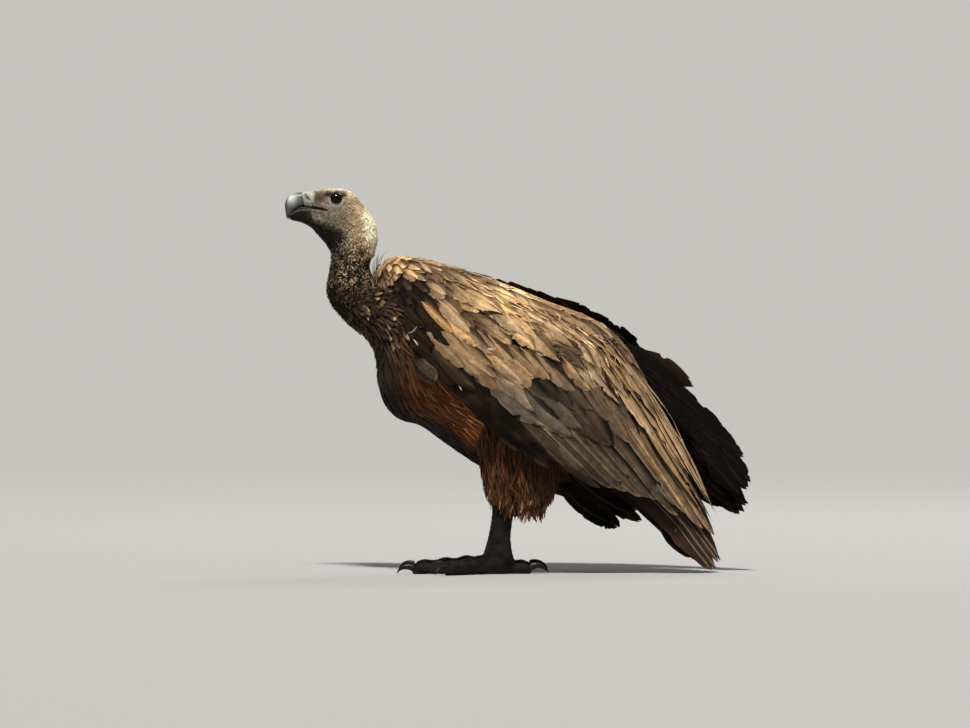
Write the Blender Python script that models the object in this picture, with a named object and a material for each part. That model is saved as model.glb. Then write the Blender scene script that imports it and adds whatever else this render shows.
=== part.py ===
"""A white-backed vulture at life size, standing at rest, as a museum model in separate solids.

The bird faces -X with its left side towards -Y. +Z is up and the floor is Z = 0. The origin is on
the floor under the middle of the bird's box. All sizes below are millimetres: mesh_object() turns
them into metres. Head, neck and trunk are one lofted body line, parted by thin cuts. Each folded
wing is three curved plates that lie on the trunk: arm coverts, secondaries and primaries.
"""

import math

import bmesh
import bpy
import numpy as np
from mathutils import Matrix, Vector
from mathutils.bvhtree import BVHTree
from mathutils.geometry import delaunay_2d_cdt

MM = 0.001
PART_GAP = 0.4  # air left between two pieces that meet
LEFT, RIGHT = -1, 1

# ---- driving sizes -------------------------------------------------------------------------
EYE_RADIUS = 10.5
EYE_CENTRE = (-254.0, 14.9, 521.5)
FOOT_Y = 50.0  # the feet's distance from the middle plane
FOOT_CENTRE_X = -30.0
SOLE_Z = 0.0
CLAW_ARC = 15.0  # radius of a claw's curve
WING_ROLL = 95.0  # over this distance from its upper edge the wing curves in over the back
WING_EDGE_Y = 11.0  # half the space that the two wings leave along the back
WING_TUCK = 14.0  # how far the wing's lower edge tucks in to the flank
WING_TUCK_DEPTH = 50.0
WING_CLEARANCE = 2.2  # air between a wing's inner side and the body
RIGHT_WING_LIFT = math.radians(8.5)  # the right wing's tip is held a little higher than the left's
RIGHT_WING_TOP_LIFT = math.radians(0.6)
RIGHT_WING_REACH = 0.17  # and its upper edge reaches this much further back
SHOULDER = (-165.0, 400.0)  # where that lift turns, seen from the side
PLATE_STEP = 26.0  # spacing of the points inside a wing plate

# ---- colours: name -> (red, green, blue, roughness) ------------------------------------------
FINISHES = {
    "skin": (0.19, 0.17, 0.12, 0.55),
    "bill": (0.07, 0.08, 0.08, 0.3),
    "eye": (0.01, 0.008, 0.006, 0.08),
    "neck_down": (0.12, 0.085, 0.05, 0.9),
    "body_plumage": (0.07, 0.03, 0.012, 0.85),
    "coverts": (0.36, 0.22, 0.11, 0.8),
    "secondaries": (0.15, 0.1, 0.06, 0.75),
    "primaries": (0.012, 0.01, 0.008, 0.6),
    "tail_feathers": (0.014, 0.011, 0.009, 0.65),
    "leg": (0.02, 0.018, 0.014, 0.6),
    "claw": (0.01, 0.01, 0.01, 0.35),
}

# The body line from the base of the bill to the rump. Each row is one cross-section:
# back point x, z; belly or throat point x, z; half width.
BODY_LINE = (
    (-286.0, 534.5, -292.0, 487.0, 13.0),  # face, behind the bill
    (-270.0, 537.0, -283.0, 474.0, 21.0),
    (-252.0, 537.5, -274.0, 464.0, 27.0),  # eyes
    (-233.0, 532.0, -267.5, 456.0, 29.5),
    (-217.0, 515.0, -263.0, 447.0, 29.0),  # back of the head
    (-206.0, 494.0, -262.0, 437.0, 27.5),
    (-199.0, 470.0, -264.0, 426.0, 27.0),  # nape: the head is parted from the neck here
    (-202.0, 448.0, -267.0, 413.0, 27.0),
    (-208.0, 430.0, -269.5, 399.0, 28.5),
    (-203.0, 415.0, -267.0, 383.0, 32.0),
    (-190.0, 410.0, -259.0, 367.0, 39.0),  # foot of the neck
    (-170.0, 413.0, -244.0, 350.0, 52.0),
    (-148.0, 416.0, -226.0, 336.0, 68.0),
    (-122.0, 415.0, -208.0, 321.0, 81.0),
    (-92.0, 408.0, -199.5, 298.0, 90.0),  # crop
    (-58.0, 396.0, -198.0, 266.0, 95.0),
    (-20.0, 380.0, -188.0, 234.0, 97.0),
    (18.0, 359.0, -166.0, 212.0, 96.0),  # breast
    (52.0, 332.0, -136.0, 203.0, 93.0),
    (80.0, 300.0, -100.0, 177.0, 87.0),
    (98.0, 268.0, -54.0, 147.0, 79.0),  # belly, between the legs
    (108.0, 244.0, -5.0, 128.0, 67.0),
    (112.0, 228.0, 42.0, 112.0, 52.0),  # rump, where the tail takes over
)
FACE, NAPE, NECK_FOOT, RUMP = 0, 6, 10, 22

# Bill: culmen x, z; cutting edge x, z; half width.
BILL_UPPER = (
    (-286.6, 534.3, -289.6, 510.6, 12.5),
    (-300.0, 533.6, -300.3, 512.2, 11.5),
    (-311.0, 530.0, -307.0, 510.0, 10.5),
    (-319.5, 523.5, -312.5, 506.5, 9.0),
    (-324.8, 515.5, -316.2, 503.0, 7.2),
    (-326.4, 507.0, -318.4, 500.5, 5.2),
    (-325.6, 500.0, -320.2, 497.8, 3.2),
    (-323.0, 494.2, -321.6, 494.4, 1.2),
)
BILL_LOWER = (
    (-290.2, 509.4, -292.8, 487.3, 11.0),
    (-300.0, 510.6, -302.5, 489.0, 10.0),
    (-307.0, 508.0, -309.5, 491.3, 8.3),
    (-312.5, 503.5, -314.0, 494.6, 5.8),
    (-315.8, 499.8, -316.2, 497.6, 2.6),
)

# Legs: front x, z; back x, z; half width.
THIGH = (
    (-62.0, 205.0, 50.0, 232.0, 42.0),
    (-57.0, 168.0, 57.0, 190.0, 42.0),
    (-52.0, 135.0, 57.0, 146.0, 38.0),
    (-47.0, 110.0, 52.0, 112.0, 31.0),
    (-38.0, 90.0, 38.0, 82.0, 22.0),
)
SHANK = (
    (-36.0, 89.3, -7.0, 86.2, 11.5),
    (-39.0, 64.0, -10.5, 62.0, 10.5),
    (-43.0, 44.0, -11.0, 43.0, 12.0),
    (-47.5, 28.0, -9.0, 28.0, 15.0),
)
ANKLE = (
    (-47.5, 27.6, -9.0, 27.6, 15.0),
    (-51.0, 16.0, -6.0, 15.0, 17.0),
    (-51.0, 7.0, -7.0, 7.0, 17.0),
    (-49.0, 0.0, -9.0, 0.0, 15.5),
)

# Toes: angle from straight ahead (outwards is positive), length from the ankle's middle,
# half width at the root, height at the root, number of pads, claw length factor.
TOES = {
    "middle": (4.0, 118.0, 9.6, 23.0, 4, 1.0),
    "inner": (-24.0, 84.0, 8.8, 21.0, 3, 1.1),
    "outer": (38.0, 90.0, 8.8, 21.0, 4, 0.9),
    "hind": (180.0, 47.0, 8.6, 20.0, 2, 1.15),
}
TOE_END_WIDTH = 6.2
TOE_END_HEIGHT = 14.0

# Outlines of the left wing seen from the side: x, z.
WING_UPPER_EDGE = (
    (-208.0, 396.0),
    (-197.0, 428.0),
    (-164.0, 443.0),
    (-105.0, 431.0),
    (-40.0, 411.0),
    (50.0, 375.0),
    (118.0, 347.0),
    (160.0, 300.0),
    (200.0, 222.0),
    (245.0, 152.0),
    (272.0, 96.0),
    (281.0, 52.0),
)
WING_LOWER_EDGE = (
    (-208.0, 396.0),
    (-201.0, 356.0),
    (-166.0, 310.0),
    (-96.0, 236.0),
    (2.0, 171.0),
    (114.0, 108.0),
    (219.0, 54.0),
)
COVERT_LINE = ((118.0, 347.0), (90.0, 290.0), (38.0, 256.0), (-22.0, 232.0), (-54.0, 207.0))
SECONDARY_TIPS = (
    (2.0, 171.0),
    (54.0, 154.0),
    (104.0, 126.0),
    (172.0, 104.0),
    (224.0, 84.0),
    (260.0, 62.0),
    (281.0, 52.0),
)
PRIMARY_TIPS = (
    (243.0, 30.0),
    (241.0, 37.0),
    (267.0, 3.2),
    (268.0, 15.0),
    (286.0, 2.6),
    (281.5, 18.0),
    (291.0, 18.0),
)
COVERT_SCALLOPS = 6
SECONDARY_SCALLOPS = 6
SCALLOP_DEPTH = 3.5
# Half width of the two folded wings along x.
WING_HALF_WIDTH = ((-212.0, 44.0), (-160.0, 90.0), (-90.0, 114.0), (0.0, 118.0), (120.0, 100.0), (292.0, 44.0))

# Tail: it leaves the rump in the rump's own section and flattens into a roof-shaped fan.
TAIL_TIP_TOP = (207.0, 118.0)  # tip of the middle feathers
TAIL_EDGE_TIP = (118.0, 64.5)  # tip of the outermost feathers
TAIL_HALF_WIDTH = 62.0
TAIL_FEATHERS = 12
TAIL_THICKNESS = 4.0
TAIL_WRAP = math.radians(150)  # how far round the rump the tail's upper side reaches
TAIL_DROOP = 10.0  # how far its edges bow down on the way to the tips


# ---- curves and meshes ---------------------------------------------------------------------
def smooth(rows, per_span, end=None):
    """Points of a Catmull-Rom curve through the rows, per_span steps between two rows."""
    rows = np.array(rows, float)
    padded = np.vstack([2 * rows[0] - rows[1], rows, 2 * rows[-1] - rows[-2]])
    last = len(rows) - 1 if end is None else end
    return np.array([spline_at(padded, s) for s in np.linspace(0.0, last, round(last * per_span) + 1)])


def spline_at(padded, s):
    """The Catmull-Rom curve at s, where whole numbers are its own rows."""
    i = min(int(s), len(padded) - 4)
    t = s - i
    a, b, c, d = padded[i : i + 4]
    return 0.5 * (2 * b + (c - a) * t + (2 * a - 5 * b + 4 * c - d) * t**2 + (3 * b - a - 3 * c + d) * t**3)


def mesh_object(name, points, faces, finish):
    """A closed mesh as a named object with its own material."""
    mesh = bpy.data.meshes.new(name)
    mesh.from_pydata([tuple(p) for p in np.array(points) * MM], [], [tuple(f) for f in faces])
    solid = bmesh.new()
    solid.from_mesh(mesh)
    bmesh.ops.recalc_face_normals(solid, faces=solid.faces)
    solid.to_mesh(mesh)
    solid.free()
    mesh.shade_smooth()
    obj = bpy.data.objects.new(name, mesh)
    bpy.context.scene.collection.objects.link(obj)
    obj.data.materials.append(material_of(finish))
    return obj


def material_of(finish):
    """The shared material of one finish."""
    found = bpy.data.materials.get(finish)
    if found:
        return found
    red, green, blue, roughness = FINISHES[finish]
    made = bpy.data.materials.new(finish)
    made.use_nodes = True
    shader = made.node_tree.nodes["Principled BSDF"]
    shader.inputs["Base Color"].default_value = (red, green, blue, 1.0)
    shader.inputs["Roughness"].default_value = roughness
    made.diffuse_color = (red, green, blue, 1.0)
    return made


def tube_faces(rings, around):
    """Faces of a stack of rings with both ends closed."""
    faces = [tuple(range(around))[::-1]]
    for r in range(rings - 1):
        for k in range(around):
            n = (k + 1) % around
            faces.append((r * around + k, r * around + n, (r + 1) * around + n, (r + 1) * around + k))
    faces.append(tuple(range((rings - 1) * around, rings * around)))
    return faces


def loft(name, rows, around, finish, middle_y=0.0, squareness=1.0):
    """A solid through upright sections: each row is one edge point, the other, and the half width."""
    points = []
    for ax, az, bx, bz, half in rows:
        for k in range(around):
            turn = 2 * math.pi * k / around
            along, across = math.cos(turn), math.sin(turn)
            across = math.copysign(abs(across) ** squareness, across)
            points.append(
                (
                    (ax + bx) / 2 + (ax - bx) / 2 * along,
                    middle_y + half * across,
                    (az + bz) / 2 + (az - bz) / 2 * along,
                )
            )
    return mesh_object(name, points, tube_faces(len(rows), around), finish)


def body_rows(first, last, per_span):
    """Sections of the body line between two of its rows, each end drawn back by half a thin cut."""
    rows = np.array(BODY_LINE)
    padded = np.vstack([2 * rows[0] - rows[1], rows, 2 * rows[-1] - rows[-2]])
    cut = 0.018
    start = first + (cut if first > FACE else 0.0)
    end = last - cut
    return [spline_at(padded, s) for s in np.linspace(start, end, (last - first) * per_span + 1)]


def boolean(obj, other, operation):
    """Applies one exact Boolean and removes the other object."""
    modifier = obj.modifiers.new("cut", "BOOLEAN")
    modifier.operation = operation
    modifier.object = other
    modifier.solver = "EXACT"
    graph = bpy.context.evaluated_depsgraph_get()
    mesh = bpy.data.meshes.new_from_object(obj.evaluated_get(graph))
    obj.modifiers.clear()
    obj.data = mesh
    bpy.data.objects.remove(other)
    return obj


def swollen_copy(obj, distance):
    """A copy of a solid with every point moved out along its normal, to cut a neighbour with a gap."""
    copy = bpy.data.objects.new(obj.name + "_cutter", obj.data.copy())
    bpy.context.scene.collection.objects.link(copy)
    solid = bmesh.new()
    solid.from_mesh(copy.data)
    solid.normal_update()
    for v in solid.verts:
        v.co += v.normal * distance * MM
    solid.to_mesh(copy.data)
    solid.free()
    return copy


# ---- head, neck and trunk --------------------------------------------------------------------
def build_head():
    """Head with its two eye sockets, the bill's halves and the eyes."""
    head = loft("head", body_rows(FACE, NAPE, 2), 24, "skin", squareness=0.9)
    for side, word in ((LEFT, "left"), (RIGHT, "right")):
        x, y, z = EYE_CENTRE
        place = (x, side * y, z)
        boolean(head, ball(f"socket_{word}", place, EYE_RADIUS + PART_GAP, 14, 9, "skin"), "DIFFERENCE")
        ball(f"eye_{word}", place, EYE_RADIUS, 12, 8, "eye")
    loft("bill_upper", smooth(BILL_UPPER, 2), 14, "bill", squareness=0.8)
    loft("bill_lower", smooth(BILL_LOWER, 2), 12, "bill", squareness=0.75)


def ball(name, place, radius, around, up, finish):
    """A round ball with its poles to the left and right."""
    solid = bmesh.new()
    bmesh.ops.create_uvsphere(solid, u_segments=around, v_segments=up, radius=radius * MM)
    turn = Matrix.Translation(Vector(place) * MM) @ Matrix.Rotation(math.pi / 2, 4, "X")
    bmesh.ops.transform(solid, matrix=turn, verts=solid.verts)
    mesh = bpy.data.meshes.new(name)
    solid.to_mesh(mesh)
    solid.free()
    mesh.shade_smooth()
    obj = bpy.data.objects.new(name, mesh)
    bpy.context.scene.collection.objects.link(obj)
    obj.data.materials.append(material_of(finish))
    return obj


def build_body():
    """Neck and trunk."""
    neck = loft("neck", body_rows(NAPE, NECK_FOOT, 2), 22, "neck_down")
    trunk = loft("trunk", body_rows(NECK_FOOT, RUMP, 2), 22, "body_plumage")
    return neck, trunk


# ---- tail ------------------------------------------------------------------------------------
def build_tail():
    """The tail, from the rump's full section to a thin arched fan with scalloped feather tips.

    Its upper side wraps the rump down to TAIL_WRAP from the top, so that the outer feathers leave
    the body low down.
    """
    back_x, back_z, belly_x, belly_z, rump_width = BODY_LINE[RUMP]
    top, low = np.array([back_x + 0.5, back_z - 0.3]), np.array([belly_x + 0.5, belly_z - 0.3])
    tip_middle, tip_edge = np.array(TAIL_TIP_TOP), np.array(TAIL_EDGE_TIP)
    lengths, across = 7, 24
    points = []
    for i in range(lengths):
        along = i / (lengths - 1)
        upper, under = [], []
        for j in range(across + 1):
            a = 2 * j / across - 1
            feather_end = 0.035 * abs(math.sin(math.pi * TAIL_FEATHERS / 2 * (a + 1)))
            s = along * (1 + feather_end * (along > 0.8))
            fan = tip_edge + (tip_middle - tip_edge) * (1 - abs(a) ** 1.7)
            thick = TAIL_THICKNESS * (1 - 0.6 * abs(a))
            droop = TAIL_DROOP * math.sin(math.pi * min(1.0, s)) * abs(a)
            for turn, side_points, drop in (
                (a * TAIL_WRAP, upper, 0.0),
                (math.copysign(math.pi, a) - a * (math.pi - TAIL_WRAP), under, thick),
            ):
                root = (top + low) / 2 + (top - low) / 2 * math.cos(turn)
                end = fan - np.array([0.5, 0.85]) * drop
                # the underside sinks in behind the body, so that the fan is thin for most of its length
                hollow = ease(along * 1.4) if drop else s
                place = root + (end - root) * s
                if drop:
                    roof = root_of_fan(top, low, a) + (end - root_of_fan(top, low, a)) * s
                    place = place * (1 - hollow) + roof * hollow
                y = rump_width * math.sin(turn) * (1 - s) + TAIL_HALF_WIDTH * a * s
                side_points.append((place[0], y, place[1] - droop))
        points += upper + under[-2:0:-1]
    return mesh_object("tail", points, tube_faces(lengths, 2 * across), "tail_feathers")


def root_of_fan(top, low, a):
    """Where the fan's underside would meet the rump if the fan were thin up to its root."""
    return (top + low) / 2 + (top - low) / 2 * math.cos(a * TAIL_WRAP)


# ---- legs ------------------------------------------------------------------------------------
def build_leg(side, word, trunk):
    """One leg: feathered thigh, bare shank, foot with four toes, and the claws."""
    y = side * FOOT_Y
    thigh = loft(f"thigh_{word}", smooth(THIGH, 2), 18, "body_plumage", middle_y=y)
    boolean(thigh, swollen_copy(trunk, PART_GAP * 2), "DIFFERENCE")
    loft(f"shank_{word}", smooth(SHANK, 2), 14, "leg", middle_y=y, squareness=0.9)
    foot = loft(f"foot_{word}", smooth(ANKLE, 2), 20, "leg", middle_y=y, squareness=0.9)
    for toe, sizes in TOES.items():
        boolean(foot, build_toe(toe, side, sizes), "UNION")
        build_claw(f"claw_{word}_{toe}", side, sizes)
    return thigh


def toe_frame(side, angle):
    """The ankle's middle on the floor, a toe's direction and its sideways direction."""
    turn = math.radians(angle)
    ahead = np.array([-math.cos(turn), side * math.sin(turn), 0.0])
    aside = np.array([-ahead[1], ahead[0], 0.0])
    return np.array([FOOT_CENTRE_X, side * FOOT_Y, SOLE_Z]), ahead, aside


def build_toe(toe, side, sizes):
    """A toe with a flat sole and a swelling at each pad."""
    angle, length, width, height, pads, _ = sizes
    start, ahead, aside = toe_frame(side, angle)
    steps, around = 3 * pads + 1, 8
    points = []
    for i in range(steps):
        t = i / (steps - 1)
        swell = 1 + 0.09 * math.cos(2 * math.pi * pads * t + math.pi)
        round_off = math.sqrt(max(0.0, 1 - max(0.0, (t - 0.9) / 0.1) ** 2 * 0.45))
        half = (width + (TOE_END_WIDTH - width) * t) * swell * round_off
        tall = (height + (TOE_END_HEIGHT - height) * t) * (0.97 + 0.03 * swell) * round_off
        for k in range(around):
            turn = 2 * math.pi * k / around
            up = max(0.0, tall * (0.42 + 0.58 * math.cos(turn)))
            sideways = half * math.copysign(abs(math.sin(turn)) ** 0.8, math.sin(turn))
            points.append(start + ahead * length * t + aside * sideways + np.array([0.0, 0.0, up]))
    return mesh_object("toe_" + toe, points, tube_faces(steps, around), "leg")


def build_claw(name, side, sizes):
    """A claw that rises from the toe's end and curves down to just over the floor."""
    angle, length, _, _, _, size = sizes
    start, ahead, aside = toe_frame(side, angle)
    steps, around = 7, 8
    first, last = math.radians(-36), math.radians(66)
    radius = CLAW_ARC * size
    drop = 0.9 - radius * math.cos(last) + 0.4
    points = []
    for i in range(steps):
        t = i / (steps - 1)
        turn = first + (last - first) * t
        out = length + PART_GAP + radius * (math.sin(turn) - math.sin(first))
        up = drop + radius * math.cos(turn)
        lean = turn * min(1.0, 3 * t)
        tall = (4.6 * (1 - t) ** 0.8 + 0.5) * size
        half = (3.4 * (1 - t) ** 0.8 + 0.5) * size
        for k in range(around):
            swing = 2 * math.pi * k / around
            rise = tall * math.cos(swing)
            points.append(
                start
                + ahead * (out + rise * math.sin(lean))
                + aside * half * math.sin(swing)
                + np.array([0.0, 0.0, max(0.3, up + rise * math.cos(lean))])
            )
    return mesh_object(name, points, tube_faces(steps, around), "claw")


# ---- wings -----------------------------------------------------------------------------------
def distance_to(curve, x, z):
    """Distance from a point to the nearest stretch of a curve, seen from the side."""
    p = np.array([x, z])
    a, b = curve[:-1], curve[1:]
    along = b - a
    share = np.clip(((p - a) * along).sum(1) / (along**2).sum(1), 0, 1)
    return float(np.sqrt(((a + along * share[:, None] - p) ** 2).sum(1)).min())


def wing_surface(x, z):
    """Half width of the folded wings' outer side at a point seen from the side."""
    width = float(np.interp(x, WIDTH_CURVE[:, 0], WIDTH_CURVE[:, 1]))
    inside = min(1.0, distance_to(UPPER_CURVE, x, z) / WING_ROLL)
    rolled = math.sqrt(max(0.0, 1 - (1 - inside) ** 2))
    tuck = max(0.0, 1 - distance_to(LOWER_CURVE, x, z) / WING_TUCK_DEPTH) ** 2
    return WING_EDGE_Y + (width - WING_EDGE_Y) * rolled - WING_TUCK * tuck * rolled


def offset_line(line, distance):
    """A line moved sideways by a distance, to its left as it runs."""
    way = np.gradient(line, axis=0)
    way /= np.linalg.norm(way, axis=1)[:, None]
    return line + np.column_stack([-way[:, 1], way[:, 0]]) * distance


def scalloped(line, count, depth, onward):
    """A line with round feather tips: waves of a depth along the feathers' direction."""
    t = np.linspace(0, 1, len(line))
    wave = np.abs(np.sin(math.pi * count * t)) ** 0.8 * np.minimum(1, 8 * np.minimum(t, 1 - t))
    return line + np.outer(wave * depth, onward)


def wing_outlines():
    """Outlines of the arm, secondaries and primaries, seen from the side, with thin cuts between."""
    onward = np.array([0.74, -0.67])
    coverts = scalloped(smooth(COVERT_LINE, 6), COVERT_SCALLOPS, SCALLOP_DEPTH, onward)
    tips = scalloped(smooth(SECONDARY_TIPS, 5), SECONDARY_SCALLOPS, SCALLOP_DEPTH, onward)
    elbow = int(np.argmin(np.linalg.norm(UPPER_CURVE - COVERT_LINE[0], axis=1)))
    meet = int(np.argmin(np.linalg.norm(LOWER_CURVE - COVERT_LINE[-1], axis=1)))
    leave = int(np.argmin(np.linalg.norm(LOWER_CURVE - SECONDARY_TIPS[0], axis=1)))
    cut = PART_GAP / 2
    arm = np.vstack([UPPER_CURVE[: elbow + 1], offset_line(coverts, -cut)[1:-1], LOWER_CURVE[meet:0:-1]])
    inner = offset_line(coverts, cut)
    hem = offset_line(tips, cut)[::-1][1:-1]
    front = LOWER_CURVE[leave : meet + 1][::-1]
    secondaries = np.vstack([inner[1:-1][::-1], UPPER_CURVE[elbow + 1 : -1], hem, front])
    primaries = np.vstack([offset_line(tips, -cut)[1:-1], np.array(PRIMARY_TIPS)[::-1], LOWER_CURVE[-1:leave:-1]])
    return {"arm": arm, "secondaries": secondaries, "primaries": primaries}


def fill_outline(outline, step):
    """Triangles that fill an outline, with a grid of points inside it."""
    low, high = outline.min(0), outline.max(0)
    closed = np.vstack([outline, outline[:1]])
    inner = [
        (x, z)
        for x in np.arange(low[0] + step / 2, high[0], step)
        for z in np.arange(low[1] + step / 2, high[1], step)
        if inside_outline(outline, x, z) and distance_to(closed, x, z) > step * 0.45
    ]
    corners = [Vector(p) for p in outline] + [Vector(p) for p in inner]
    loop = list(range(len(outline)))
    points, _, faces, *_ = delaunay_2d_cdt(corners, [], [loop], 1, 1e-4)
    return np.array([tuple(p) for p in points]), [tuple(f) for f in faces]


def inside_outline(outline, x, z):
    """True where a point is inside the outline."""
    a, b = outline, np.roll(outline, -1, axis=0)
    crosses = (a[:, 1] > z) != (b[:, 1] > z)
    at = a[crosses, 0] + (z - a[crosses, 1]) / (b[crosses, 1] - a[crosses, 1]) * (b[crosses, 0] - a[crosses, 0])
    return bool((at > x).sum() % 2)


def body_half_width(body, side, x, z):
    """How far the body reaches sideways round a point seen from the side, or 0 where it doesn't."""
    reach = 0.0
    for dx, dz in ((0, 0), (8, 8), (8, -8), (-8, 8), (-8, -8)):
        hit = body.ray_cast(Vector((x + dx, side * 400.0, z + dz)) * MM, Vector((0, -side, 0)))
        if hit[0]:
            reach = max(reach, abs(hit[0].y) / MM)
    return reach


def raised(x, z, lift):
    """Where a point of the wing goes, seen from the side, when its tip is raised about the shoulder."""
    dx, dz = x - SHOULDER[0], z - SHOULDER[1]
    if lift == 0 or dx <= 0:
        return x, z
    angle, radius = math.atan2(dz, dx), math.hypot(dx, dz)
    low = ease((-angle - math.radians(10.6)) / math.radians(31))
    back = ease(dx / 150)
    angle += back * (lift * low + RIGHT_WING_TOP_LIFT * (1 - low))
    radius *= 1 + back * (RIGHT_WING_REACH * (1 - low) - 0.025 * low)
    return SHOULDER[0] + radius * math.cos(angle), SHOULDER[1] + radius * math.sin(angle)


def ease(t):
    """A smooth step from 0 to 1."""
    t = min(1.0, max(0.0, t))
    return t * t * (3 - 2 * t)


def build_wing(side, word, body, lift):
    """The three plates of one folded wing, laid on the body. lift raises its tip."""
    thickness = {"arm": (13.0, 8.0), "secondaries": (8.0, 3.5), "primaries": (5.0, 2.4)}
    finish = {"arm": "coverts", "secondaries": "secondaries", "primaries": "primaries"}
    for plate, outline in wing_outlines().items():
        flat, faces = fill_outline(outline, PLATE_STEP)
        front, back = outline[:, 0].min(), outline[:, 0].max()
        thick, thin = thickness[plate]
        outer, inner = [], []
        for x, z in flat:
            px, pz = raised(x, z, lift)
            deep = thick + (thin - thick) * (x - front) / (back - front)
            y_out = wing_surface(x, z)
            y_in = max(y_out - deep, body_half_width(body, side, px, pz) + WING_CLEARANCE, 1.5)
            y_out = max(y_out, y_in + thin)
            outer.append((px, side * y_out, pz))
            inner.append((px, side * y_in, pz))
        count = len(flat)
        solid_faces = list(faces) + [tuple(i + count for i in f[::-1]) for f in faces]
        used = {}
        for f in faces:
            for a, b in zip(f, f[1:] + f[:1]):
                used[(a, b)] = used.get((a, b), 0) + 1
        rim = [(a, b) for a, b in used if (b, a) not in used]
        solid_faces += [(b, a, a + count, b + count) for a, b in rim]
        mesh_object(f"wing_{word}_{plate}", outer + inner, solid_faces, finish[plate])


def tree_of(objects):
    """One search tree over several solids."""
    points, faces = [], []
    for obj in objects:
        base = len(points)
        points += [obj.matrix_world @ v.co for v in obj.data.vertices]
        faces += [[base + i for i in p.vertices] for p in obj.data.polygons]
    return BVHTree.FromPolygons(points, faces)


UPPER_CURVE = smooth(WING_UPPER_EDGE, 2)
LOWER_CURVE = smooth(WING_LOWER_EDGE, 3)
WIDTH_CURVE = smooth(WING_HALF_WIDTH, 8)


def main():
    """Clears the scene and builds every piece."""
    for obj in list(bpy.data.objects):
        bpy.data.objects.remove(obj)
    build_head()
    neck, trunk = build_body()
    tail = build_tail()
    thighs = [build_leg(side, word, trunk) for side, word in ((LEFT, "left"), (RIGHT, "right"))]
    body = tree_of([neck, trunk, tail, *thighs])
    build_wing(LEFT, "left", body, 0.0)
    build_wing(RIGHT, "right", body, RIGHT_WING_LIFT)


main()
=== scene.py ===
"""Dresses the white-backed vulture: skin, bill, eyes, claws and every feather, over the CAD frame.

All shapes are worked out in millimetres in the frame's own axes: the bird faces -X with its left
side towards -Y, +Z is up and the floor is Z = 0. MeshPile turns them into metres. Feathers are laid
on charts: a chart is a smooth surface with two coordinates, such as the body line or a wing's side.
Places and colours are arrays whose last axis is x, y, z or linear red, green, blue.
"""

import sys
import logging
import math
from collections.abc import Callable
from dataclasses import dataclass, field, replace
from enum import Enum
from functools import partial

import bpy
import numpy as np
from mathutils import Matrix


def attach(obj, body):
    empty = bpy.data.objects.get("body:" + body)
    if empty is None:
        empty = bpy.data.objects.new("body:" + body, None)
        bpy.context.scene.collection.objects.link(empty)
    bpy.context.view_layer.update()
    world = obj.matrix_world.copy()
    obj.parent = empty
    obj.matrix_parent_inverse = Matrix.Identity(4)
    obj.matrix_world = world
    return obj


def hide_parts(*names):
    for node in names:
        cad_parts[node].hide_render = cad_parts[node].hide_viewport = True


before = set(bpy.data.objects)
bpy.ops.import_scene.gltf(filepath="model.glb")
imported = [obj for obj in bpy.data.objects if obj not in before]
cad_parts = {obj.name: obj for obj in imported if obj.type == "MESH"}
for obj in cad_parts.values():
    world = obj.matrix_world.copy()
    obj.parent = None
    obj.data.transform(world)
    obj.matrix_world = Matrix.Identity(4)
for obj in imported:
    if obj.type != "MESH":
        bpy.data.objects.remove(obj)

LOG = logging.getLogger("vulture")
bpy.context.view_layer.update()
ROOT = "root"
MM = 0.001
LEFT, RIGHT = -1, 1
SIDES = {"left": LEFT, "right": RIGHT}
Array = np.ndarray
Random = np.random.Generator
Pair = tuple[Array, Array]
Four = tuple[Array, Array, Array, Array]
Spot = tuple[float, float]
Box = tuple[float, float, float, float]
Colour = tuple[float, float, float]
Keep = Callable[[Array, Array, Array], Array]


# ---- numbers --------------------------------------------------------------------------------
def ramp(low: float, high: float, x: Array) -> Array:
    """A smooth step in x, from 0 at low to 1 at high."""
    t = np.clip((np.asarray(x, float) - low) / (high - low), 0, 1)
    return t * t * (3 - 2 * t)


def spline(rows: Array, s: Array) -> Array:
    """A Catmull-Rom curve through rows, whole numbers of s being the rows themselves.

    Args:
        rows: The curve's own points, one per row.
        s: Places along it; values past either end run on straight.

    Returns:
        The curve's points, in an array of s's shape and the rows' width.
    """
    rows = np.asarray(rows, float)
    padded = np.vstack([2 * rows[0] - rows[1], rows, 2 * rows[-1] - rows[-2]])
    inside = np.clip(s, 0, len(rows) - 1)
    i = np.clip(inside.astype(int), 0, len(rows) - 2)
    t = (inside - i)[..., None]
    a, b, c, d = padded[i], padded[i + 1], padded[i + 2], padded[i + 3]
    curve = 0.5 * (2 * b + (c - a) * t + (2 * a - 5 * b + 4 * c - d) * t**2 + (3 * b - a - 3 * c + d) * t**3)
    return curve + (s - inside)[..., None] * (c - b)


# three large odd numbers that stir a cell's place
HASHES = np.array([73856093, 19349663, 83492791])


def noise(points: Array, size: float, seed: int = 0) -> Array:
    """Smooth noise from -1 to 1 that varies over a given size.

    Args:
        points: Places, in an array whose last axis is x, y, z.
        size: The noise's grain in millimetres.
        seed: Picks another noise.

    Returns:
        The noise at each place.
    """
    q = np.asarray(points, float) / size
    cell = np.floor(q).astype(np.int64)
    f = q - cell
    f = f * f * (3 - 2 * f)
    total = np.zeros(q.shape[:-1])
    for corner in range(8):
        step = np.array([corner & 1, corner >> 1 & 1, corner >> 2 & 1])
        key = cell + step
        mixed = np.bitwise_xor.reduce(key * HASHES, axis=-1) ^ (seed * 2654435)
        mixed = (mixed ^ (mixed >> 13)) * 1274126177 & 0x7FFFFFFF
        weight = np.prod(np.where(step, f, 1 - f), axis=-1)
        total += weight * (mixed / 0x3FFFFFFF - 1)
    return total


def unit(v: Array) -> Array:
    """Vectors of length 1."""
    return v / np.maximum(np.linalg.norm(v, axis=-1, keepdims=True), 1e-9)


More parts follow.
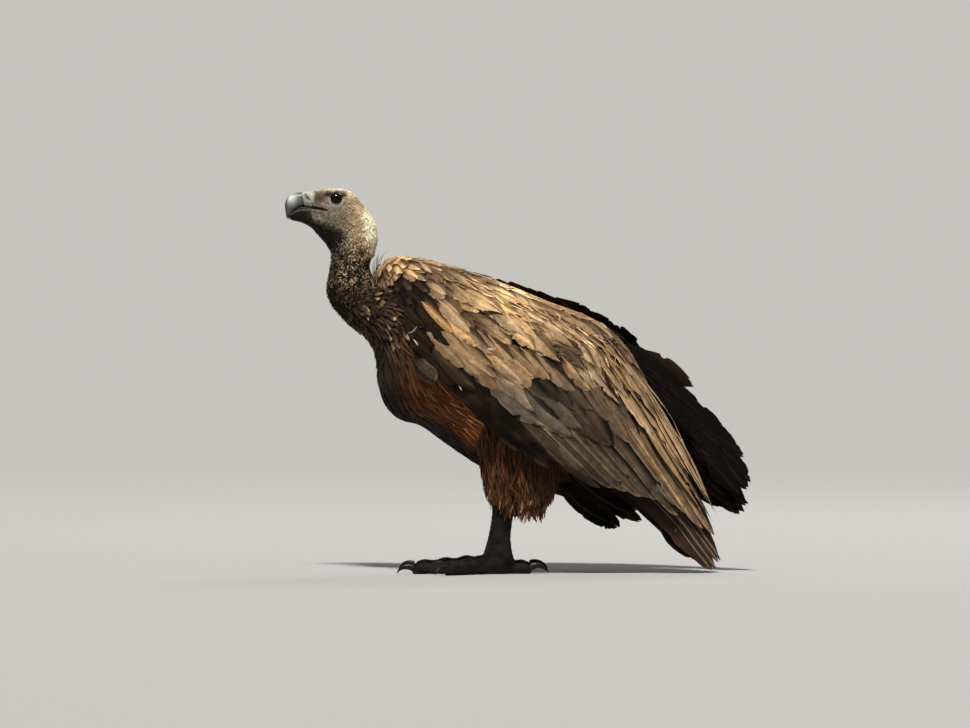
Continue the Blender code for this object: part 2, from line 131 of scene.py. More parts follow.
def mix(a: Array, b: Array, share: Array) -> Array:
    """Goes from colours a to colours b by a share that has no colour axis."""
    share = np.asarray(share)[..., None]
    return np.asarray(a) * (1 - share) + np.asarray(b) * share


def hump(x: Array, reach: float | Array) -> Array:
    """A smooth hump in x, 1 at 0 and low beyond its reach."""
    return np.exp(-((x / reach) ** 2))


def grid_of(a: Array, b: Array) -> list[Array]:
    """Two coordinates' values crossed into two grids, a down the rows and b along the columns."""
    return np.meshgrid(a, b, indexing="ij")


def ring(count: int, start: float = 0) -> Array:
    """Evenly spaced turns of one whole round."""
    return np.linspace(start, start + 2 * math.pi, count, endpoint=False)


def hue(*parts: float) -> Array:
    """A colour as an array of linear red, green and blue."""
    return np.array(parts)


def curve_distance(curve: Array, x: Array, z: Array) -> Array:
    """Signed distance from a curve in the side view, positive on its right as it runs.

    Args:
        curve: The curve's points, x and z.
        x: Places to measure from.
        z: The same places' heights.

    Returns:
        The distances, in x's shape.
    """
    best = np.full(np.shape(x), np.inf)
    sign = np.ones(np.shape(x))
    for (ax, az), (bx, bz) in zip(curve[:-1], curve[1:]):
        ux, uz = bx - ax, bz - az
        share = np.clip(((x - ax) * ux + (z - az) * uz) / (ux * ux + uz * uz), 0, 1)
        dx, dz = x - ax - share * ux, z - az - share * uz
        far = np.hypot(dx, dz)
        nearer = far < best
        sign = np.where(nearer, np.where(ux * dz - uz * dx > 0, -1, 1), sign)
        best = np.where(nearer, far, best)
    return best * sign


def put(obj: bpy.types.Object) -> bpy.types.Object:
    """Puts an object into the scene."""
    bpy.context.scene.collection.objects.link(obj)
    return obj


# ---- meshes ---------------------------------------------------------------------------------
@dataclass
class MeshPile:
    """Points, faces and their colours, gathered from several grids into one mesh."""

    points: list[Array] = field(default_factory=list)
    quads: list[Array] = field(default_factory=list)
    colours: list[Array] = field(default_factory=list)
    grains: list[Array] = field(default_factory=list)
    patches: list[Array] = field(default_factory=list)
    count: int = 0

    def add(self, quads: Array, points: Array, colours: Array, grain: Array, patch: Array) -> None:
        """Adds one batch.

        Args:
            quads: Corners of each face, (m, 4); a triangle repeats its last corner.
            points: Places in millimetres, (n, 3).
            colours: Linear colours, (n, 3).
            grain: Three numbers for the finish's fine pattern, (n, 3).
            patch: Place on the bake map, (n, 2).
        """
        self.points.append(points)
        self.quads.append(quads + self.count)
        self.colours.append(np.broadcast_to(colours, points.shape))
        self.grains.append(np.broadcast_to(grain, points.shape))
        self.patches.append(np.broadcast_to(patch, (len(points), 2)))
        self.count += len(points)

    def add_grid(self, grid: Array, colours: Array, grain: Array, around: bool, patch: Array) -> None:
        """Adds a grid of points, rows by columns, whose columns may run round and meet.

        Args:
            grid: Places, (rows, columns, 3).
            colours: Linear colours of the same shape.
            grain: Three numbers for the fine pattern, (rows, columns, 3).
            around: True where the last column meets the first, with both ends closed.
            patch: Place on the bake map, (rows, columns, 2).
        """
        rows, columns = grid.shape[:2]
        index = np.arange(rows * columns).reshape(rows, columns)
        right = np.roll(index, -1, axis=1) if around else index[:, 1:]
        here = index if around else index[:, :-1]
        quads = np.stack([here[:-1], here[1:], right[1:], right[:-1]], axis=-1).reshape(-1, 4)
        colours, grain = np.broadcast_to(colours, grid.shape), np.broadcast_to(grain, grid.shape)
        patch = np.broadcast_to(patch, (rows, columns, 2))
        parts = [a.reshape(-1, a.shape[-1]) for a in (grid, colours, grain, patch)]
        if around:
            ends = [[a[:columns].mean(0), a[-columns:].mean(0)] for a in parts]
            parts = [np.vstack([a, *e]) for a, e in zip(parts, ends)]
            first, last = index[0], index[-1]
            low = np.stack([first, np.roll(first, -1), *[np.full(columns, rows * columns)] * 2], -1)
            high = np.stack([np.roll(last, -1), last, *[np.full(columns, rows * columns + 1)] * 2], -1)
            quads = np.vstack([quads, low, high])
            corner = parts[0][quads] - parts[0].mean(0)
            volume = (
                corner[:, 0] * np.cross(corner[:, 1], corner[:, 2])
                + corner[:, 0] * np.cross(corner[:, 2], corner[:, 3])
            ).sum()
            if volume < 0:
                quads = np.where(quads[:, 2:3] == quads[:, 3:], quads[:, [1, 0, 2, 3]], quads[:, ::-1])
        self.add(quads, *parts)

    def build(self, name: str, material: bpy.types.Material) -> bpy.types.Object:
        """Makes the object, with its colour, grain and bake map.

        Args:
            name: The object's name.
            material: Its finish.

        Returns:
            The new object, in the scene.
        """
        points, quads = np.vstack(self.points) * MM, np.vstack(self.quads)
        three = quads[:, 2] == quads[:, 3]
        sizes = np.where(three, 3, 4)
        loops = quads[np.arange(4) < sizes[:, None]]
        mesh = bpy.data.meshes.new(name)
        mesh.vertices.add(len(points))
        mesh.vertices.foreach_set("co", points.astype(np.float32).ravel())
        mesh.loops.add(len(loops))
        mesh.loops.foreach_set("vertex_index", loops.astype(np.int32))
        mesh.polygons.add(len(quads))
        mesh.polygons.foreach_set("loop_start", np.concatenate([[0], np.cumsum(sizes)[:-1]]).astype(np.int32))
        mesh.update(calc_edges=True)
        bake = mesh.uv_layers.new(name="OFBake")
        bake.data.foreach_set("uv", np.vstack(self.patches)[loops].astype(np.float32).ravel())
        colours = np.clip(np.vstack(self.colours), 0.0005, 1)
        shade = mesh.attributes.new("plume", "FLOAT_COLOR", "POINT")
        shade.data.foreach_set(
            "color", np.hstack([colours, np.ones((len(colours), 1))]).astype(np.float32).ravel()
        )
        grain = mesh.attributes.new("grain", "FLOAT_VECTOR", "POINT")
        grain.data.foreach_set("vector", np.vstack(self.grains).astype(np.float32).ravel())
        mesh.shade_smooth()
        mesh.materials.append(material)
        LOG.info("%s: %d faces", name, len(quads))
        return put(bpy.data.objects.new(name, mesh))

    def hang(self, name: str, material: bpy.types.Material, slot: str, *nodes: str) -> None:
        """Builds the pile as one piece of the model."""
        settle(self.build(name, material), slot, *nodes)


# ---- charts ---------------------------------------------------------------------------------
class Chart:
    """A smooth surface with two coordinates, on which skin and feathers are laid."""

    step: float = 1e-3
    atlas: Box = (0.02, 0.02, 0.98, 0.98)

    def point(self, a: Array, b: Array) -> Array:
        """The surface's place at two coordinates."""
        raise NotImplementedError

    def spread(self) -> Box:
        """The coordinates' lowest and highest values: a low, b low, a high, b high."""
        raise NotImplementedError

    def slopes(self, a: Array, b: Array) -> Four:
        """Place, the two ways along the surface, and the way out of it.

        Args:
            a: First coordinate.
            b: Second coordinate.

        Returns:
            The place, its change with a, its change with b, and the outward unit normal.
        """
        e = self.step
        here = self.point(a, b)
        along = (self.point(a + e, b) - self.point(a - e, b)) / (2 * e)
        across = (self.point(a, b + e) - self.point(a, b - e)) / (2 * e)
        out = unit(np.cross(along, across)) * self.handed()
        return here, along, across, out

    def handed(self) -> float:
        """1 or -1, so that the normal points out of the bird."""
        return 1

    def raised(self, a: Array, b: Array, height: Array) -> Array:
        """The place at a height over the surface."""
        here, _, _, out = self.slopes(a, b)
        return here + out * height[..., None]

    def bake_place(self, a: Array, b: Array) -> Array:
        """Where the two coordinates lie on the bake map.

        Args:
            a: First coordinate.
            b: Second coordinate.

        Returns:
            The map's two coordinates, on the last axis.
        """
        a0, b0, a1, b1 = self.spread()
        u0, v0, u1, v1 = self.atlas
        u = u0 + (u1 - u0) * np.clip((a - a0) / (a1 - a0), 0, 1)
        v = v0 + (v1 - v0) * np.clip((b - b0) / (b1 - b0), 0, 1)
        return np.stack([u, v], -1)


@dataclass
class Tube(Chart):
    """A tube through sections. Each row is one edge's x, z, the other edge's x, z, and the half width.

    The first coordinate counts rows. The second is the turn round the tube from the first edge
    towards the right side.
    """

    rows: Array
    middle_y: float = 0
    squareness: float = 1
    low_squareness: float = 1
    out_sign: float = 1

    def power(self, a: Array, cos: Array) -> Array:
        """How square the section is: 1 is an ellipse, and less is squarer."""
        return np.where(cos > 0, self.squareness, self.low_squareness)

    def handed(self) -> float:
        """-1 for a tube that runs down or forward."""
        return self.out_sign

    def point(self, a: Array, b: Array) -> Array:
        """The tube's surface.

        Args:
            a: Place along the rows.
            b: Turn round the tube.

        Returns:
            Places in millimetres.
        """
        row = spline(self.rows, np.asarray(a, float))
        cos, sin = np.cos(b), np.sin(b)
        side = np.sign(sin) * np.abs(sin) ** self.power(a, cos)
        x = (row[..., 0] + row[..., 2]) / 2 + (row[..., 0] - row[..., 2]) / 2 * cos
        z = (row[..., 1] + row[..., 3]) / 2 + (row[..., 1] - row[..., 3]) / 2 * cos
        return np.stack([x, self.middle_y + row[..., 4] * side, z], -1)

    def spread(self) -> Box:
        """Rows, and a whole turn."""
        return 0, -math.pi, len(self.rows) - 1, math.pi


BODY_LINE = np.array(
    (
        (-286, 534.5, -292, 487, 13),  # face, behind the bill
        (-270, 537, -283, 474, 21),
        (-252, 537.5, -274, 464, 27),  # eyes
        (-233, 532, -267.5, 456, 29.5),
        (-217, 515, -263, 447, 29),  # back of the head
        (-206, 494, -262, 437, 27.5),
        (-199, 470, -264, 426, 27),  # nape
        (-202, 448, -267, 413, 27),
        (-208, 430, -269.5, 399, 28.5),
        (-203, 415, -267, 383, 32),
        (-190, 410, -259, 367, 39),  # foot of the neck
        (-170, 413, -244, 350, 52),
        (-148, 416, -226, 336, 68),
        (-122, 415, -208, 321, 81),
        (-92, 408, -199.5, 298, 90),  # crop
        (-58, 396, -198, 266, 95),
        (-20, 380, -188, 234, 97),
        (18, 359, -166, 212, 96),  # breast
        (52, 332, -136, 203, 93),
        (80, 300, -100, 177, 87),
        (98, 268, -54, 147, 79),  # belly
        (108, 244, -5, 128, 67),
        (112, 228, 42, 112, 52),  # rump
    )
)


@dataclass
class BodyLine(Tube):
    """Head, neck and trunk as one tube, whose head is a little squarer than its trunk."""

    rows: Array = field(default_factory=BODY_LINE.copy)

    def power(self, a: Array, cos: Array) -> Array:
        """Squarer at the head."""
        return 0.92 + 0.08 * ramp(4, 7, a)


def sampled(rows: tuple[Spot, ...], per_span: int = 6) -> Array:
    """A smooth curve's points, per_span steps between two of its rows."""
    curve = np.array(rows, float)
    return spline(curve, np.linspace(0, len(curve) - 1, per_span * (len(curve) - 1) + 1))


WING_UPPER_EDGE = sampled(
    (
        (-208, 396), (-197, 428), (-164, 443), (-105, 431), (-40, 411), (50, 375), (118, 347), (160, 300),
        (200, 222), (245, 152), (272, 96), (281, 52), (288, 10), (294, -60)
    ),
    2
)
WING_LOWER_EDGE = sampled(
    ((-208, 396), (-201, 356), (-166, 310), (-96, 236), (2, 171), (114, 108), (219, 54)), 3
)


@dataclass
class WingShell(Chart):
    """The outer side of one folded wing. The coordinates are x and z in the left wing's side view."""

    side: int
    roll: float = 95
    edge_y: float = 11
    tuck: float = 14
    tuck_depth: float = 50
    soft: float = 3
    shoulder: Spot = (-165, 400)
    lift: float = math.radians(8.5)
    top_lift: float = math.radians(1.4)
    dip: float = math.radians(3)
    reach: float = 0.17
    step: float = 0.5

    def half_width(self, x: Array) -> Array:
        """Half width of the two folded wings along x."""
        rows = ((-212, 44), (-160, 90), (-90, 114), (0, 118), (120, 100), (292, 44))
        curve = sampled(rows, 8)
        return np.interp(x, curve[:, 0], curve[:, 1])

    def side_view(self, x: Array, z: Array) -> Pair:
        """Where a point goes in the side view: the right wing's tip is held higher.

        Args:
            x: The left wing's x.
            z: The left wing's z.

        Returns:
            This wing's x and z.
        """
        if self.side == LEFT:
            return x, z
        dx, dz = x - self.shoulder[0], z - self.shoulder[1]
        angle, radius = np.arctan2(dz, dx), np.hypot(dx, dz)
        low = ramp(math.radians(10.6), math.radians(41.6), -angle)
        back = ramp(0, 150, dx)
        sag = self.dip * ramp(math.radians(7), math.radians(14), -angle)
        sag = sag * ramp(math.radians(26), math.radians(12), -angle)
        angle = angle + back * (self.lift * low + self.top_lift * (1 - low) - sag)
        radius = radius * (1 + back * (self.reach * (1 - low) - 0.025 * low))
        ahead = dx <= 0
        px = np.where(ahead, x, self.shoulder[0] + radius * np.cos(angle))
        pz = np.where(ahead, z, self.shoulder[1] + radius * np.sin(angle))
        return px, pz

    def point(self, a: Array, b: Array) -> Array:
        """The wing's outer side.

        Args:
            a: Places' x in the left wing's side view.
            b: Their z.

        Returns:
            Places in millimetres.
        """
        a, b = np.asarray(a, float), np.asarray(b, float)
        depth = from_top(a, b)
        inside = np.clip((depth + self.soft) / (self.roll + self.soft), 0, 1)
        rolled = np.sqrt(np.maximum(0, 1 - (1 - inside) ** 2))
        low = np.abs(curve_distance(WING_LOWER_EDGE, a, b))
        tuck = np.clip(1 - low / self.tuck_depth, 0, 1) ** 2
        y = self.edge_y - 6 + (self.half_width(a) - self.edge_y + 6) * rolled - self.tuck * tuck * rolled
        x, z = self.side_view(a, b)
        return np.stack([x, self.side * y, z], -1)

    def handed(self) -> float:
        """The normal points away from the bird's middle."""
        return 1 if self.side == LEFT else -1

    def spread(self) -> Box:
        """The wing's box in the side view."""
        return -215, 0, 295, 450


@dataclass
class EdgeSheet(WingShell):
    """An upright sheet close to the bird's middle, in the same coordinates as the wing's outer side."""

    near_y: float = 4.5

    def point(self, a: Array, b: Array) -> Array:
        """The sheet's place."""
        a, b = np.asarray(a, float), np.asarray(b, float)
        x, z = self.side_view(a, b)
        return np.stack([x, np.full_like(x, self.side * self.near_y), z], -1)


def from_top(x: Array, z: Array) -> Array:
    """Distance below the wings' upper edge in the side view."""
    return curve_distance(WING_UPPER_EDGE, x, z)


def wing_top(x: Array) -> Array:
    """Height of the wings' upper edge."""
    return np.interp(x, WING_UPPER_EDGE[:, 0], WING_UPPER_EDGE[:, 1])


@dataclass
class Saddle(Chart):
    """The back between and over the two wings. The coordinates are x and y."""

    wing: WingShell = field(default_factory=partial(WingShell, LEFT))
    step: float = 0.5

    def point(self, a: Array, b: Array) -> Array:
        """The back's surface, as round as the wings are.

        Args:
            a: Places' x.
            b: Their y.

        Returns:
            Places in millimetres.
        """
        a, b = np.asarray(a, float), np.asarray(b, float)
        top = wing_top(a)
        slot = self.wing.edge_y - 6
        share = np.clip((np.sqrt(b * b + 9) - slot) / (self.wing.half_width(a) - slot), 0, 0.97)
        drop = self.wing.roll * (1 - np.sqrt(1 - share**2))
        return np.stack([a, b, top - drop], -1)

    def spread(self) -> Box:
        """From the neck to the tail, and from side to side."""
        return -212, -100, 290, 100


@dataclass
class TailFan(Chart):
    """The tail's upper side. The coordinates are the share of its length and the place across, -1 to 1."""

    tip_top: Spot = (207, 118)
    tip_edge: Spot = (118, 64.5)
    half_width: float = 62
    wrap: float = math.radians(150)
    droop: float = 10
    step: float = 1e-3

    def point(self, a: Array, b: Array) -> Array:
        """The fan's upper side.

        Args:
            a: Share of the length, 0 at the root.
            b: Place across, -1 to 1.

        Returns:
            Places in millimetres.
        """
        a, b = np.asarray(a, float), np.asarray(b, float)
        back_x, back_z, belly_x, belly_z, rump = BODY_LINE[-1]
        turn = b * self.wrap
        root_x = (back_x + belly_x) / 2 + (back_x - belly_x) / 2 * np.cos(turn)
        root_z = (back_z + belly_z) / 2 + (back_z - belly_z) / 2 * np.cos(turn)
        bow = 1 - np.abs(b) ** 1.7
        tip_x = self.tip_edge[0] + (self.tip_top[0] - self.tip_edge[0]) * bow
        tip_z = self.tip_edge[1] + (self.tip_top[1] - self.tip_edge[1]) * bow
        sink = self.droop * np.sin(math.pi * np.clip(a, 0, 1)) * np.abs(b)
        x = root_x + (tip_x - root_x) * a
        z = root_z + (tip_z - root_z) * a - sink
        y = rump * np.sin(turn) * (1 - a) + self.half_width * b * a
        return np.stack([x, y, z], -1)

    def spread(self) -> Box:
        """The whole fan."""
        return 0, -1, 1, 1


# ---- feathers -------------------------------------------------------------------------------
class Outline(Enum):
    """The outline of a feather."""

    ROUND = "round"
    LANCE = "lance"
    BLADE = "blade"
    SPIKE = "spike"
    SOFT = "soft"


@dataclass(frozen=True)
class Cut:
    """How one kind of feather is cut and bent.

    camber is how far its edges lie under its shaft, over the half width. bow lifts its middle, over
    its length. fray and ragged wear its tip and its edges. shaft is the shaft's place across, from
    -1 to 1, and ridge its height in millimetres.
    """

    outline: Outline
    rows: int
    columns: int
    camber: float = 0.15
    bow: float = 0.02
    fray: float = 0.06
    ragged: float = 0.12
    shaft: float = 0
    ridge: float = 0
    draped: bool = True

    def lengthwise(self) -> Array:
        """The rows' places from root to tip, closer towards the tip."""
        return 1 - (1 - np.linspace(0, 1, self.rows)) ** 1.35

    def crosswise(self) -> Array:
        """The columns' places from edge to edge, with three more at a raised shaft."""
        w = np.linspace(-1, 1, self.columns)
        if not self.ridge:
            return w
        w = w[np.abs(w - self.shaft) > 0.09]
        return np.sort(np.concatenate([w, self.shaft + np.array([-0.06, 0, 0.06])]))

    def half_width(self, t: Array) -> Array:
        """Half width at each row, 1 at the widest.

        Args:
            t: The rows' places, from root to tip.

        Returns:
            Shares of the feather's half width.
        """
        if self.outline is Outline.SPIKE:
            return np.maximum(0.08, 1 - t**1.4)
        if self.outline is Outline.LANCE:
            return np.maximum(
                0.03, (0.4 + 0.6 * ramp(0, 0.35, t)) * (1 - np.clip((t - 0.4) / 0.6, 0, 1) ** 1.8)
            )
        if self.outline is Outline.SOFT:
            return np.maximum(
                0.04, (0.3 + 0.7 * ramp(0, 0.45, t)) * (1 - np.clip((t - 0.5) / 0.5, 0, 1) ** 2)
            )
        start, low = (0.66, 0.35) if self.outline is Outline.ROUND else (0.86, 0.1)
        grown = low + (1 - low) * ramp(0, 0.35 if self.outline is Outline.ROUND else 0.22, t)
        tip = np.sqrt(np.maximum(0, 1 - (np.clip((t - start) / (1 - start), 0, 1)) ** 2.2))
        return np.maximum(0.05, grown * tip)


@dataclass
class Dye:
    """A feather's colours, each one colour or one for each feather.

    streak is the contrast of the lines along it. lee is how dark the painted shadow on the side under the
    next feather gets, its sign is that side's, and under_shadow_from is where it starts across. stain gives
    how much of its colour each place keeps, as painted light and shade on the wings and back and as wear on
    the primaries' tips, and whole makes a feather keep one share throughout.
    """

    root: Array | Colour
    vane: Array | Colour
    edge: Array | Colour
    shaft: Array | Colour = (0.3, 0.2, 0.1)
    root_end: float = 0.5
    edge_from: float = 0.6
    tip_from: float = 0.8
    edge_share: float = 1
    shaft_mm: float = 0
    variety: float = 0.14
    blotch: float = 0.18
    streak: float = 0
    under_shadow: float = 0
    under_shadow_from: float = 0
    whole: bool = False
    light_and_wear: Callable[[Array], Array] | None = None

    def paint(self, t: Array, w: Array, off: Array, places: Array, rng: Random) -> Array:
        """Colours of every point of a batch.

        Args:
            t: Rows' places, root to tip.
            w: Columns' places, edge to edge.
            off: Distance from the shaft in millimetres, (feathers, rows, columns).
            places: The points, (feathers, rows, columns, 3).
            rng: The batch's random numbers.

        Returns:
            Linear colours in places' shape.
        """
        four = self.root, self.vane, self.edge, self.shaft
        root, vane, edge, shaft = (np.broadcast_to(c, (len(off), 3))[:, None, None] for c in four)
        down = t[None, :, None]
        shade = mix(root, vane, ramp(0.05, self.root_end, down) * np.ones_like(off))
        rim = ramp(self.edge_from, 1, np.abs(w))[None, None] * ramp(0.15, 0.5, down)
        rim = np.maximum(rim, ramp(self.tip_from, 1, down)) * self.edge_share
        shade = mix(shade, edge, rim * rng.uniform(0.55, 1, (len(off), 1, 1)))
        if self.shaft_mm:
            shade = mix(shade, shaft, hump(off, self.shaft_mm) * 0.85)
        # painted shadow on the side that lies under the next feather
        if self.under_shadow:
            reach = self.under_shadow_from + rng.uniform(-0.3, 0.3, (len(off), 1, 1))
            under = ramp(0, 0.45, w * math.copysign(1, self.under_shadow) - reach) * ramp(0.1, 0.3, down)
            shade = shade * (1 - abs(self.under_shadow) * under)[..., None]
        tint = 1 + self.variety * rng.standard_normal((len(off), 1, 1))
        warm = rng.standard_normal((len(off), 1, 1)) * self.variety * 0.25
        worn = 1 + self.blotch * noise(places, 7, 3) + self.blotch * 0.7 * noise(places, 2.6, 4)
        # painted light and shade by place on the wings and back, and wear on the primaries' tips
        if self.light_and_wear:
            seen = places[:, 3 * len(t) // 4, len(w) // 2][:, None, None] if self.whole else places
            worn = worn * self.light_and_wear(seen)
        if self.streak:
            lines = rng.standard_normal((len(off), 1, len(w))) + 0.5 * rng.standard_normal(off.shape)
            worn = worn * np.exp(self.streak * lines)
        tone = np.stack([1 + warm, np.ones_like(warm), 1 - 1.6 * warm], -1)
        return shade * (np.clip(tint, 0.5, 1.6)[..., None] * tone) * worn[..., None]


@dataclass
class Flock:
    """Where a batch of feathers grows, and how each one lies. Every field has one entry per feather.

    goal gives the coordinates of each tip where a feather has to run straight to it on its chart.
    """

    a: Array
    b: Array
    way: Array
    length: Array
    width: Array
    height: Array
    rise: Array
    roll: Array | float = 0
    bend: Array | float = 0
    goal: Pair | None = None

    def __post_init__(self) -> None:
        """Gives every field its full length."""
        for name in ("length", "width", "height", "rise", "roll", "bend"):
            setattr(self, name, np.broadcast_to(np.asarray(getattr(self, name), float), self.a.shape))


def resolve(pa: Array, pb: Array, move: Array) -> Pair:
    """The change of two coordinates that makes a move along a surface.

    Args:
        pa: The place's change with the first coordinate.
        pb: The place's change with the second.
        move: The wanted move.

    Returns:
        The changes of the first and the second coordinate.
    """
    aa, ab, bb = (pa * pa).sum(-1), (pa * pb).sum(-1), (pb * pb).sum(-1)
    ma, mb = (pa * move).sum(-1), (pb * move).sum(-1)
    det = np.maximum(aa * bb - ab * ab, 1e-9)
    return (bb * ma - ab * mb) / det, (aa * mb - ab * ma) / det


def lay(
    pile: MeshPile, chart: Chart, cut: Cut, flock: Flock, dye: Dye, seed: int, tiles: Array | None = None
) -> None:
    """Lays a batch of feathers on a chart, each bent along it from its root to its tip.

    Args:
        pile: The mesh that takes them.
        chart: The surface they lie on.
        cut: Their shape.
        flock: Their places and sizes.
        dye: Their colours.
        seed: Seed of their irregularities.
        tiles: Each feather's own rectangle on the bake map, or None for a small patch at its root.
    """
    rng = np.random.default_rng(seed)
    t, w = cut.lengthwise(), cut.crosswise()
    n, rows, columns = len(flock.a), len(t), len(w)
    a, b, way = flock.a.astype(float), flock.b.astype(float), flock.way.astype(float)
    half = cut.half_width(t)
    worn = 1 - 0.5 * cut.ragged * rng.random((n, rows, columns)) * np.abs(w) ** 3
    torn = rng.random((n, rows, 2)) < 0.5 * cut.ragged
    split = torn * rng.random((n, rows, 2)) * ramp(0.25, 0.5, t)[:, None]
    worn = worn - 0.5 * split[:, :, (w > 0).astype(int)] * np.abs(w) ** 1.5
    off = (flock.width / 2)[:, None, None] * half[:, None] * (w - cut.shaft) * worn
    swell = cut.bow * np.sin(math.pi * t)
    grid = np.empty((n, rows, columns, 3))
    coarse = rng.random((n, columns // 2 + 2))
    spot = np.linspace(0, coarse.shape[1] - 1.001, columns)
    share = spot - spot.astype(int)
    lobes = coarse[:, spot.astype(int)] * (1 - share) + coarse[:, spot.astype(int) + 1] * share
    ends = (lobes * 0.8 + rng.random((n, columns)) * 0.2) ** 1.5 * cut.fray
    start_a, start_b = a, b
    for i in range(rows):
        if flock.goal is not None:
            run_a, run_b = flock.goal[0] - start_a, flock.goal[1] - start_b
            arch = flock.bend * math.sin(math.pi * t[i]) * 0.25
            a, b = start_a + run_a * t[i] - run_b * arch, start_b + run_b * t[i] + run_a * arch
        here, pa, pb, out = chart.slopes(a, b)
        if flock.goal is not None:
            way = pa * run_a[:, None] + pb * run_b[:, None]
        way = unit(way - out * (way * out).sum(-1, keepdims=True))
        side = np.cross(out, way)
        if cut.draped:
            da, db = resolve(pa, pb, side)
            surface = chart.point(a[:, None] + da[:, None] * off[:, i], b[:, None] + db[:, None] * off[:, i])
        else:
            surface = here[:, None] + side[:, None] * off[:, i, :, None]
        height = flock.height + flock.rise * t[i] + swell[i] * flock.length
        cross = -cut.camber * (flock.width / 2)[:, None] * half[i] * (w - cut.shaft) ** 2
        cross = cross + flock.roll[:, None] * w * half[i] + cut.ridge * hump(w - cut.shaft, 0.05) * (1 - t[i])
        back = flock.length[:, None] * ends * ramp(0.45, 1, np.array(t[i]))
        lift = (height[:, None] + cross)[..., None]
        grid[:, i] = surface + out[:, None] * lift - way[:, None] * back[..., None]
        if i < rows - 1 and flock.goal is None:
            step = t[i + 1] - t[i]
            da, db = resolve(pa, pb, way * (step * flock.length)[:, None])
            a, b = a + da, b + db
            way = way + side * (flock.bend * step)[:, None]
    colours = dye.paint(t, w, off, grid, rng)
    along = np.broadcast_to((flock.length[:, None] * t)[:, :, None], off.shape)
    grain = np.stack([off, along, np.broadcast_to(rng.random((n, 1, 1)) * 50, off.shape)], -1)
    across_share, along_share = np.meshgrid((w + 1) / 2, t)
    share = np.stack([across_share, along_share], -1)
    if tiles is None:
        patch = chart.bake_place(flock.a, flock.b)[:, None, None] + 0.003 * (share - 0.5)
    else:
        patch = tiles[:, None, None, :2] + (tiles[:, 2:] - tiles[:, :2])[:, None, None] * share
    index = np.arange(rows * columns).reshape(rows, columns)
    quads = np.stack([index[:-1, :-1], index[1:, :-1], index[1:, 1:], index[:-1, 1:]], -1).reshape(-1, 4)
    quads = (quads + (np.arange(n) * rows * columns)[:, None, None]).reshape(-1, 4)
    flat = [v.reshape(-1, v.shape[-1]) for v in (grid, colours, grain, patch)]
    pile.add(quads, *flat)


def strips(count: int, wide: int) -> Array:
    """Rectangles on the bake map, one for each of a few large feathers.

    Args:
        count: How many feathers.
        wide: How many rectangles lie side by side.

    Returns:
        Low u, low v, high u, high v of each.
    """
    tall = math.ceil(count / wide)
    i = np.arange(count)
    u, v = (i % wide) / wide, (i // wide) / tall
    gap = 0.004
    return np.stack([u + gap, v + gap, u + 1 / wide - gap, v + 1 / tall - gap], -1)


@dataclass(frozen=True)
class Gap:
    """How far apart feathers grow: least in front of start, and extra more behind end, both along x."""

    least: float
    extra: float = 0
    start: float = -190
    end: float = -80

    def at(self, places: Array) -> Array:
        """The distance at each place."""
        return self.least + self.extra * ramp(self.start, self.end, places[:, 0])


def anywhere(p: Array, a: Array, b: Array) -> Array:
    """True at every place."""
    return np.ones(a.shape, bool)


def scatter(chart: Chart, low: Spot, high: Spot, gap: Gap, keep: Keep, tries: int, seed: int) -> Pair:
    """Places on a chart that stay a given distance apart.

    Args:
        chart: The surface.
        low: Lowest coordinates.
        high: Highest coordinates.
        gap: The distance.
        keep: Takes places and coordinates and says which may be used.
        tries: How many random places are tried.
        seed: Seed of the random places.

    Returns:
        The two coordinates of the places kept.
    """
    rng = np.random.default_rng(seed)
    a, b = rng.uniform(low[0], high[0], tries), rng.uniform(low[1], high[1], tries)
    places = chart.point(a, b)
    fine = keep(places, a, b)
    a, b, places = a[fine], b[fine], places[fine]
    apart = gap.at(places)
    taken = np.empty_like(places)
    chosen: list[int] = []
    for i, place in enumerate(places):
        if chosen and ((taken[: len(chosen)] - place) ** 2).sum(1).min() < apart[i] ** 2:
            continue
        taken[len(chosen)] = place
        chosen.append(i)
    return a[chosen], b[chosen]


def sow(chart: Chart, count: int, density: Keep, low: Spot, high: Spot, seed: int) -> Pair:
    """Random places on a chart, as many to the area as a density says.

    Args:
        chart: The surface.
        count: How many places.
        density: Takes places and coordinates and gives the density there.
        low: Lowest coordinates.
        high: Highest coordinates.
        seed: Seed of the random places.

    Returns:
        The two coordinates of the places.
    """
    rng = np.random.default_rng(seed)
    a, b = rng.uniform(low[0], high[0], count * 8), rng.uniform(low[1], high[1], count * 8)
    here, pa, pb, _ = chart.slopes(a, b)
    weight = np.linalg.norm(np.cross(pa, pb), axis=-1) * density(here, a, b)
    keys = rng.random(len(a)) ** (1 / np.maximum(weight, 1e-9))
    best = np.argsort(-keys)[: min(count, int((weight > 1e-6).sum()))]
    return a[best], b[best]


